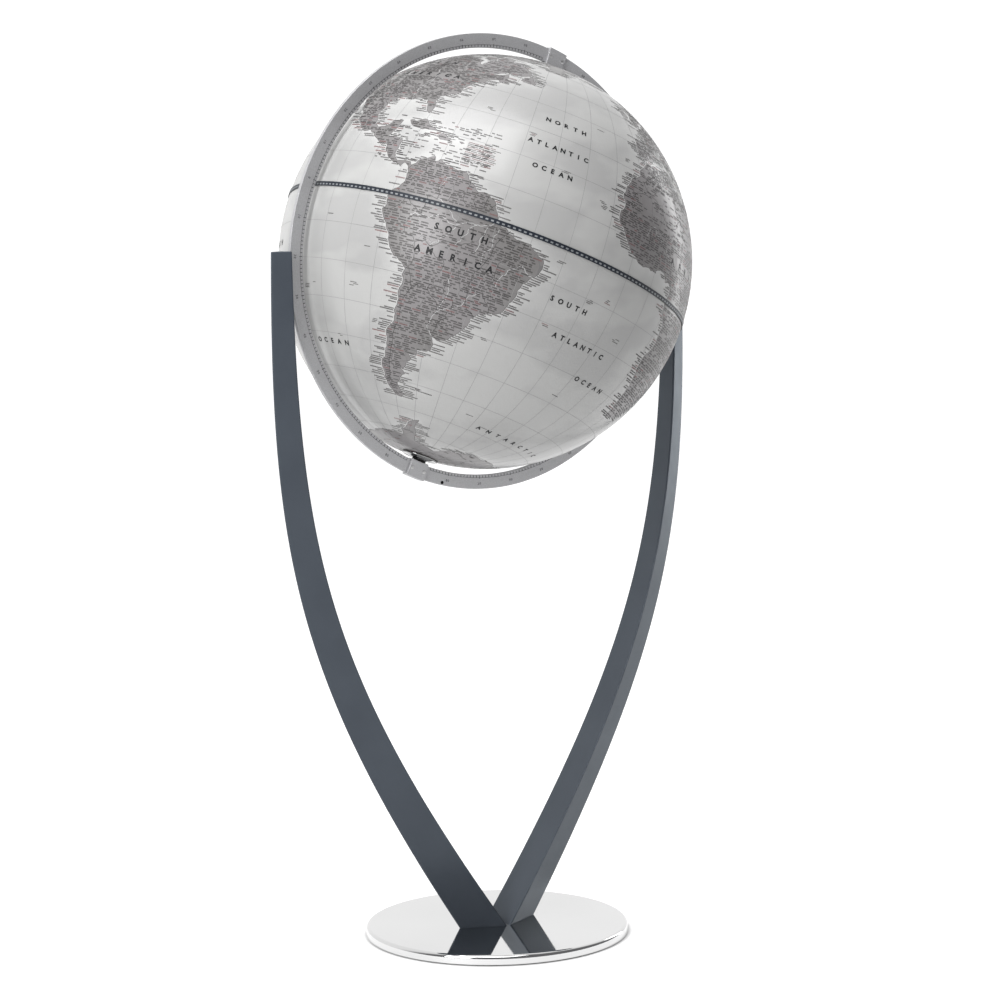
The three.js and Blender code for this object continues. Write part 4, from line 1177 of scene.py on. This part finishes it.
class Print:
    """Thin marks gathered for one piece: flat shapes lying just over the ball."""

    def __init__(self, lift):
        self.radius = BALL + lift
        self.places = []
        self.faces = []
        self.indices = []

    def quad(self, corners, look=0):
        first = len(self.places)
        self.places += corners
        self.faces.append([first, first + 1, first + 2, first + 3])
        self.indices.append(look)

    def bar(self, longitude, latitude, length, height, look=0):
        """A mark lying along its parallel, with sizes in degrees of arc."""
        reach = length / math.cos(math.radians(latitude))
        self.quad([
            (longitude, latitude - height / 2),
            (longitude + reach, latitude - height / 2),
            (longitude + reach, latitude + height / 2),
            (longitude, latitude + height / 2),
        ], look)

    def line(self, path, width, look=0):
        """A strip along a path, mitred at its bends."""
        first = len(self.places)
        for k, (x, y) in enumerate(path):
            ax, ay = path[max(k - 1, 0)]
            bx, by = path[min(k + 1, len(path) - 1)]
            shrink = max(0.05, math.cos(math.radians(y)))
            across = Vector(((bx - ax) * shrink, by - ay)).normalized().orthogonal() * width / 2
            self.places.append((x - across.x / shrink, y - across.y))
            self.places.append((x + across.x / shrink, y + across.y))
        for k in range(len(path) - 1):
            a = first + 2 * k
            self.faces.append([a + 1, a, a + 2, a + 3])
            self.indices.append(look)

    def finish(self, name, looks):
        points = sphere_points(np.array(self.places), self.radius)
        turned = []
        middle = np.array(CENTRE)
        for face in self.faces:
            a, b, c = points[face[0]], points[face[1]], points[face[2]]
            outward_face = np.dot(np.cross(b - a, c - a), a - middle) > 0
            turned.append(face if outward_face else face[::-1])
        piece = make_piece(name, "globe", points, turned, looks, self.indices)
        away = (points - middle) / np.linalg.norm(points - middle, axis=1)[:, None]
        piece.data.normals_split_custom_set_from_vertices(away.tolist())
        return piece


MAP_MM = math.degrees(MM / BALL)
BAND_EDGE = 2.3 * MAP_MM


def print_graticule():
    marks = Print(0.05 * MM)
    for longitude in range(-180, 180, 10):
        top = 88 if longitude % 90 == 0 else 80
        for low, high in ((-top, -BAND_EDGE), (BAND_EDGE, top)):
            steps = 40
            path = [(longitude, low + (high - low) * k / steps) for k in range(steps + 1)]
            marks.line(path, 0.32 * MAP_MM)
    for latitude in range(-80, 90, 10):
        if latitude:
            marks.line([(-180 + 2 * k, latitude) for k in range(181)], 0.32 * MAP_MM)
    marks.finish("map_graticule", ["grid_ink"])


def print_lines():
    marks = Print(0.06 * MM)
    for k, path in enumerate(BORDERS):
        marks.line(roughen(path, False, 1.2, 0.14, 300 + k), 0.6 * MAP_MM, 0)
    for k, path in enumerate(RIVERS):
        marks.line(roughen(path, False, 1.0, 0.2, 500 + k), 0.5 * MAP_MM, 1)
    for path in SHORES[:-1] + [ICE]:
        closed = path if path is ICE else path + path[:1]
        marks.line(closed, 0.4 * MAP_MM, 0)
    marks.finish("map_borders", ["border_ink", "river_ink"])


def crossings(latitude):
    """Longitudes where a parallel meets a coast, in order, and whether it starts on land."""
    low = np.minimum(EDGE_STARTS[:, 1], EDGE_ENDS[:, 1])
    high = np.maximum(EDGE_STARTS[:, 1], EDGE_ENDS[:, 1])
    hit = (low <= latitude) & (high > latitude)
    a, b = EDGE_STARTS[hit], EDGE_ENDS[hit]
    x = a[:, 0] + (latitude - a[:, 1]) * (b[:, 0] - a[:, 0]) / (b[:, 1] - a[:, 1])
    starts_on_land = (x <= -180).sum() % 2 == 1
    return np.sort(x[(x > -180) & (x < 180)]), starts_on_land


def write_word(marks, longitude, latitude, letters, pitch, height, look):
    shrink = math.cos(math.radians(latitude))
    for k in range(letters):
        start = longitude + k * pitch / shrink
        marks.bar(start, latitude, pitch * 0.68, height, look)


def fill_row(marks, latitude, chance):
    """Word-like marks along one parallel: dense on land, and a few sticking out over the sea."""
    pitch = 0.92 * MAP_MM
    height = 1.15 * MAP_MM
    shrink = math.cos(math.radians(latitude))
    met, land = crossings(latitude)
    edges = np.concatenate([[-180], met, [180]])
    for k, (west, east) in enumerate(zip(edges, edges[1:])):
        if land ^ (k % 2 == 1):
            fill_words(marks, west, east, latitude, pitch, height, chance, density)
        else:
            fill_words(marks, west, east, latitude, pitch, height, chance, sea_density)
            reach = (east - west) * shrink
            if reach < 4:
                continue
            if west > -180 and chance.random() < 0.8:
                letters = chance.randint(5, 15)
                write_word(marks, west + 0.25, latitude, letters, pitch, height, pick_ink(chance))
            if east < 180 and chance.random() < 0.8:
                letters = chance.randint(5, 15)
                start = east - (letters * pitch + 0.25) / shrink
                write_word(marks, start, latitude, letters, pitch, height, pick_ink(chance))


def pick_ink(chance):
    return 1 if chance.random() < 0.08 else 0


BUSY_SEAS = [(-90, -58, 8, 24), (-6, 36, 32, 46), (95, 128, -9, 20), (-2, 30, 50, 62), (-100, -60, 66, 80)]


def sea_density(longitude, latitude):
    """Words over water come only among crowded islands."""
    for west, east, south, north in BUSY_SEAS:
        if west < longitude < east and south < latitude < north:
            return 0.42
    return 0.0


def near_name(longitude, latitude):
    for _, west, east, height, _ in NAMES:
        if abs(latitude - height) < 1.1 and west - 2 < longitude < east + 1:
            return True
    return False


def density(longitude, latitude):
    """How often words come, by region: sparse in deserts, forests and ice."""
    if near_name(longitude, latitude):
        return 0.12
    if latitude < -60 or (latitude > 60 and -75 < longitude < -12):
        return 0.12
    if -72 < longitude < -52 and -12 < latitude < 2:
        return 0.62
    if -12 < longitude < 32 and 17 < latitude < 29:
        return 0.35
    if latitude > 62:
        return 0.3
    return 0.86


def fill_words(marks, west, east, latitude, pitch, height, chance, often):
    shrink = math.cos(math.radians(latitude))
    cursor = west + chance.uniform(0.1, 0.8) / shrink
    while cursor < east - 4 * pitch / shrink:
        letters = chance.randint(3, 9)
        if cursor + letters * pitch / shrink > east:
            break
        if chance.random() < often(cursor, latitude):
            write_word(marks, cursor, latitude, letters, pitch, height, pick_ink(chance))
        cursor += (letters + chance.uniform(0.9, 3.2)) * pitch / shrink


def print_labels(name, low, high, seed):
    marks = Print(0.07 * MM)
    chance = random.Random(seed)
    rows = int((high - low) / (2.05 * MAP_MM))
    for row in range(rows):
        latitude = low + (high - low) * (row + chance.uniform(0.3, 0.7)) / rows
        fill_row(marks, latitude, chance)
    marks.finish(name, ["label_ink", "red_ink"])


def print_sea_notes():
    """Small notes over open sea: island groups and a table of lines."""
    marks = Print(0.07 * MM)
    chance = random.Random(41)
    pitch = 0.85 * MAP_MM
    height = 0.75 * MAP_MM
    spots = [
        (-25, 16), (-24, 15), (-28, 38.5), (-17, 28.3), (-16.5, 32.8), (-14.3, -8), (-5.7, -16),
        (-29, -20.5), (-12, -37.3), (-37, -54.3), (-32.4, -3.8), (-90.5, -0.6), (-109.3, -27.1),
        (-80, -33.6), (-105, -26.5), (-85, -15), (-95, -40), (-88, -25), (-100, -8), (-26, -57),
        (-150, -17), (-140, -9), (-157, 21), (-172, -14), (178, -18), (167, -21), (-130, -24),
        (55.5, -21), (57.5, -20.3), (72.5, 4), (73, -7), (96.8, -12), (70, -49), (-45, -30),
        (-20, -10), (-38, 20), (-50, 28), (-64.8, 32.3), (-60, 13.5), (-61, 15.5), (-62, 17.2),
    ]
    for longitude, latitude in spots:
        for row in range(chance.randint(1, 3)):
            letters = chance.randint(4, 9)
            start = longitude + chance.uniform(0, 1.5)
            write_word(marks, start, latitude - row * 1.5 * MAP_MM, letters, pitch, height, pick_ink(chance))
    for row in range(12):
        cursor = -64.6
        while cursor < -57:
            letters = chance.randint(5, 12)
            latitude = 19 - row * 1.75 * MAP_MM
            write_word(marks, cursor, latitude, letters, pitch, height, 1 if row % 3 == 0 else 0)
            cursor += (letters + 1.5) * pitch
    marks.finish("map_sea_notes", ["label_ink", "red_ink"])


def print_band():
    """The equator band: a navy line on each edge with light and dark cells between."""
    outer = BALL + 0.7 * MM
    inner = BALL + 0.3 * MM
    heights = [-2.2, -1.1, 0.35, 2.2]
    cells = 480
    points, faces, indices = [], [], []
    ring = [(inner, -2.2)] + [(outer, height) for height in heights] + [(inner, 2.2)]
    for cell in range(cells):
        turn = math.tau * cell / cells
        for radius, height in ring:
            spot = (radius * math.cos(turn), radius * math.sin(turn), height * MM)
            points.append(AXIS_TO_ROW @ Vector(spot))
    count = len(ring)
    for cell in range(cells):
        for k in range(count):
            a = cell * count + k
            b = cell * count + (k + 1) % count
            c = ((cell + 1) % cells) * count
            faces.append([a, c + k, c + (k + 1) % count, b])
            light = k == 2 and cell % 2 == 0
            indices.append(1 if light else 0)
    band = make_piece(
        "equator_scale_band", "globe", points, faces, ["seam_band", "band_light"], indices,
        replaces=["equator_band"],
    )
    outward(band)
    sharpen(band)


# ---- Lettering: plain sea and land names, and numbers ----------------------------------------


def glyph_mesh(text):
    """Outline triangles of a word in the plain built-in typeface, one unit high."""
    curve = bpy.data.curves.new("lettering", "FONT")
    curve.body = text
    curve.resolution_u = 2
    curve.offset = 0.042
    holder = bpy.data.objects.new("lettering", curve)
    bpy.context.scene.collection.objects.link(holder)
    bpy.context.view_layer.update()
    mesh = holder.to_mesh()
    points = [tuple(vertex.co)[:2] for vertex in mesh.vertices]
    faces = [list(face.vertices) for face in mesh.polygons]
    holder.to_mesh_clear()
    bpy.data.objects.remove(holder)
    bpy.data.curves.remove(curve)
    return points, faces


GLYPHS = {}
CAP_HEIGHT = 0.73


def glyph(letter):
    if letter not in GLYPHS:
        points, faces = glyph_mesh(letter)
        low = min(x for x, y in points)
        high = max(x for x, y in points)
        GLYPHS[letter] = ([(x - (low + high) / 2, y) for x, y in points], faces)
    return GLYPHS[letter]


NAMES = [
    ("NORTH", -45, -32.6, 34.6, 4.9),
    ("ATLANTIC", -48.5, -31, 25.8, 4.9),
    ("OCEAN", -45.2, -34.8, 18.5, 4.9),
    ("SOUTH", -64.8, -51.6, -5.6, 6.0),
    ("AMERICA", -68.2, -47.9, -12.3, 6.0),
    ("SOUTH", -29.2, -18.6, -13.4, 4.9),
    ("ATLANTIC", -23.7, -5.7, -22, 4.9),
    ("OCEAN", -8.2, 4, -30.2, 4.9),
    ("SOUTH", -140, -128, -15, 4.9),
    ("PACIFIC", -140, -120, -28, 4.9),
    ("OCEAN", -106.3, -91, -42.3, 4.9),
    ("NORTH", -166, -152, 32, 4.9),
    ("PACIFIC", -166, -146, 22, 4.9),
    ("OCEAN", -160, -146, 12, 4.9),
    ("INDIAN", 68, 84, -16, 4.9),
    ("OCEAN", 72, 86, -27, 4.9),
    ("NORTH", -112, -92, 50, 6.0),
    ("AMERICA", -108, -82, 42, 6.0),
    ("AFRICA", 8, 34, 11, 6.0),
    ("EUROPE", 16, 42, 50, 6.0),
    ("ASIA", 76, 110, 44, 5.6),
    ("AUSTRALIA", 121, 146, -25, 6.0),
    ("ANTARCTIC", -25.8, 21.5, -57.5, 4.6),
]


def print_names():
    """Spaced capitals: each name runs from its first longitude to its last along a parallel."""
    marks = Print(0.09 * MM)
    for text, west, east, latitude, size in NAMES:
        shrink = math.cos(math.radians(latitude))
        tall = size / CAP_HEIGHT * MAP_MM
        for k, letter in enumerate(text):
            points, faces = glyph(letter)
            first = len(marks.places)
            at = west + (east - west) * k / (len(text) - 1)
            marks.places += [(at + x * tall / shrink, latitude + (y - 0.36) * tall) for x, y in points]
            for face in faces:
                marks.faces.append([first + index for index in face])
                marks.indices.append(0)
    marks.finish("map_names", ["name_ink"])


# ---- Ring scale -----------------------------------------------------------------------------


def ring_place(radius, angle, face):
    """A place on a ring face: angle is latitude up from the right-hand equator."""
    depth = face * (RING_HALF_THICKNESS + 0.04 * MM)
    return AXIS_TO_ROW @ Vector((radius * math.cos(angle), depth, radius * math.sin(angle)))


def ring_patch(points, faces, low, high, start, end, face):
    first = len(points)
    for radius, angle in ((low, start), (high, start), (high, end), (low, end)):
        points.append(ring_place(radius, angle, face))
    faces.append([first, first + 1, first + 2, first + 3])


def add_ticks(points, faces, face):
    """Ladder ticks each degree and a fine line beyond them, clear of the pole blocks."""
    gap = 12.5 * MM / RING_MIDDLE
    inner = RING_INNER + 0.7 * MM
    outer = RING_INNER + 2.9 * MM
    half = 0.36 * MM / RING_MIDDLE
    for degree in range(360):
        angle = degree * DEGREE
        if abs(math.cos(angle)) < math.sin(gap):
            continue
        reach = outer + (0.9 * MM if degree % 10 == 0 else 0)
        ring_patch(points, faces, inner, reach, angle - half, angle + half, face)
        if abs(math.cos(angle + DEGREE)) >= math.sin(gap):
            low, high = outer - 0.18 * MM, outer + 0.18 * MM
            ring_patch(points, faces, low, high, angle, angle + DEGREE, face)


def add_numbers(points, faces, face):
    """Degrees of latitude, each ten degrees out from both ends of the equator."""
    for degree in range(10, 90, 10):
        for base in (0, 180):
            for sign in (-1, 1):
                add_number(points, faces, str(degree), (base + sign * degree) * DEGREE, face)
    add_number(points, faces, "0", 0, face)
    add_number(points, faces, "0", math.pi, face)


def make_ring_scale(word, face):
    points, faces = [], []
    add_ticks(points, faces, face)
    ticks = len(faces)
    add_numbers(points, faces, face)
    indices = [0] * ticks + [1] * (len(faces) - ticks)
    scale = make_piece(
        f"ring_scale_{word}", "meridian", points, faces,
        ["scale_ink", "number_ink"], indices, smooth=False,
    )
    turn_faces(scale, Vector((0, face, 0)))


def turn_faces(piece, direction):
    mesh = bmesh.new()
    mesh.from_mesh(piece.data)
    mesh.normal_update()
    for each in mesh.faces:
        if each.normal.dot(direction) < 0:
            each.normal_flip()
    mesh.to_mesh(piece.data)
    mesh.free()


def add_number(points, faces, text, angle, face):
    """Digits set across the ring's outer zone, with their tops towards its outer edge."""
    tall = 3.4 * MM
    for k, letter in enumerate(text):
        shapes, triangles = glyph(letter)
        first = len(points)
        shift = (k - (len(text) - 1) / 2) * 0.62
        for x, y in shapes:
            along = (x + shift) * tall * face
            radius = RING_OUTER - 6.6 * MM + y * tall
            points.append(ring_place(radius, angle - along / RING_MIDDLE, face))
        faces += [[first + index for index in triangle] for triangle in triangles]


# ---- Plain CAD nodes ------------------------------------------------------------------------


def dress_cad_nodes():
    """Every node still shown takes the look of its slot in the record."""
    slots = {part["node"]: part["material_slot"] for part in frame["record"]["subparts"]}
    for name, node in frame["nodes"].items():
        node.data.materials.clear()
        node.data.materials.append(LOOKS[slots[name]])


# ---- Floor and light ------------------------------------------------------------------------

BRIGHT_SIDE = (0.15, 0.95, 0.3)
FLOOR_GLOW = 0.78
FLOOR_BOUNCE = 0.6


def make_stage():
    """A wide pale floor that glows a little, so that it meets the white room without a line."""
    reach = 60
    corners = [(-reach, -reach, 0), (reach, -reach, 0), (reach, reach, 0), (-reach, reach, 0)]
    mesh = bpy.data.meshes.new("floor")
    mesh.from_pydata(corners, [], [(0, 1, 2, 3)])
    floor = bpy.data.objects.new("floor", mesh)
    bpy.context.scene.collection.objects.link(floor)
    look = Look("pale_floor", grey(0.4), 0.7, Emission_Color=(1, 1, 1, 1))
    look.vary_color(grey(0.39), grey(0.41), 2)
    # Painted shade: the glow fades out towards the base's rim, so the floor under and round the base is darker
    # than the rest of the floor.
    reach_out = look.add("ShaderNodeVectorMath", operation="LENGTH")
    look.link(look.place(), reach_out.inputs[0])
    glow = look.add("ShaderNodeMapRange", interpolation_type="SMOOTHSTEP")
    glow.inputs["From Min"].default_value = BASE_RADIUS - 4 * MM
    glow.inputs["From Max"].default_value = BASE_RADIUS + 7 * MM
    glow.inputs["To Max"].default_value = FLOOR_GLOW
    look.link(reach_out.outputs["Value"], glow.inputs["Value"])
    # The glow is weaker in the light it throws onto the object than in what is seen, by FLOOR_BOUNCE.
    rays = look.add("ShaderNodeLightPath")
    shade = look.add("ShaderNodeMapRange")
    shade.inputs["To Min"].default_value = 1
    shade.inputs["To Max"].default_value = FLOOR_BOUNCE
    look.link(rays.outputs["Is Diffuse Ray"], shade.inputs["Value"])
    strength = look.add("ShaderNodeMath", operation="MULTIPLY")
    look.link(glow.outputs["Result"], strength.inputs[0])
    look.link(shade.outputs["Result"], strength.inputs[1])
    look.link(strength.outputs["Value"], look.shader.inputs["Emission Strength"])
    mesh.materials.append(look.material)


def make_lamp(name, place, target, width, height, power):
    data = bpy.data.lights.new(name, "AREA")
    data.shape = "RECTANGLE"
    data.size = width
    data.size_y = height
    data.energy = power
    lamp = bpy.data.objects.new(name, data)
    lamp.visible_camera = False
    aim = (Vector(target) - Vector(place)).to_track_quat("-Z", "Y").to_matrix().to_4x4()
    lamp.matrix_world = Matrix.Translation(place) @ aim
    bpy.context.scene.collection.objects.link(lamp)


def make_world():
    """A soft room: white behind the object and to its left, dimmer in front and to its right."""
    world = bpy.data.worlds.new("studio")
    world.use_nodes = True
    tree = world.node_tree
    background = tree.nodes["Background"]
    coordinates = tree.nodes.new("ShaderNodeTexCoord")
    toward = tree.nodes.new("ShaderNodeVectorMath")
    toward.operation = "DOT_PRODUCT"
    toward.inputs[1].default_value = BRIGHT_SIDE
    ramp = tree.nodes.new("ShaderNodeValToRGB")
    ramp.color_ramp.interpolation = "EASE"
    ramp.color_ramp.elements[0].position = 0.0
    ramp.color_ramp.elements[0].color = (0.16, 0.16, 0.165, 1)
    ramp.color_ramp.elements[1].position = 0.62
    ramp.color_ramp.elements[1].color = (1, 1, 1, 1)
    tree.links.new(coordinates.outputs["Generated"], toward.inputs[0])
    tree.links.new(toward.outputs["Value"], ramp.inputs["Fac"])
    tree.links.new(ramp.outputs["Color"], background.inputs["Color"])
    background.inputs["Strength"].default_value = 1.12
    bpy.context.scene.world = world
    bpy.context.scene.view_settings.view_transform = "Standard"


# ---- Making it all --------------------------------------------------------------------------

POLES = (("north", 1), ("south", -1))

make_base()
make_leg("leg_right", 1)
make_leg("leg_left", -1)
make_ring_half(1)
make_ring_half(-1)
for pole_name, pole_sign in POLES:
    make_pole_block(pole_name, pole_sign)
    make_block_screws(pole_name, pole_sign)
    make_cup(pole_name, pole_sign)
    make_thrust_washer(pole_name, pole_sign)
make_stop_screw()
for pole_name, pole_sign in POLES:
    make_shell(pole_name, pole_sign)
print_graticule()
print_lines()
print_band()
print_labels("map_labels_south", -89, -28, 11)
print_labels("map_labels_low", -28, -1.2, 12)
print_labels("map_labels_mid", 1.2, 30, 13)
print_labels("map_labels_north", 30, 83, 14)
print_sea_notes()
print_names()
make_ring_scale("front", -1)
make_ring_scale("back", 1)
dress_cad_nodes()
make_stage()
make_world()
make_lamp("key", (-3.2, -1.2, 2.0), (0, 0, 0.55), 1.4, 2.2, 120)
make_lamp("overhead", (-0.6, -0.5, 3.0), (0, 0, 0.663), 1.8, 1.8, 62)
make_lamp("strip", (2.4, 0.35, 0.62), (0.2, 0, 0.4), 0.35, 2.1, 15)
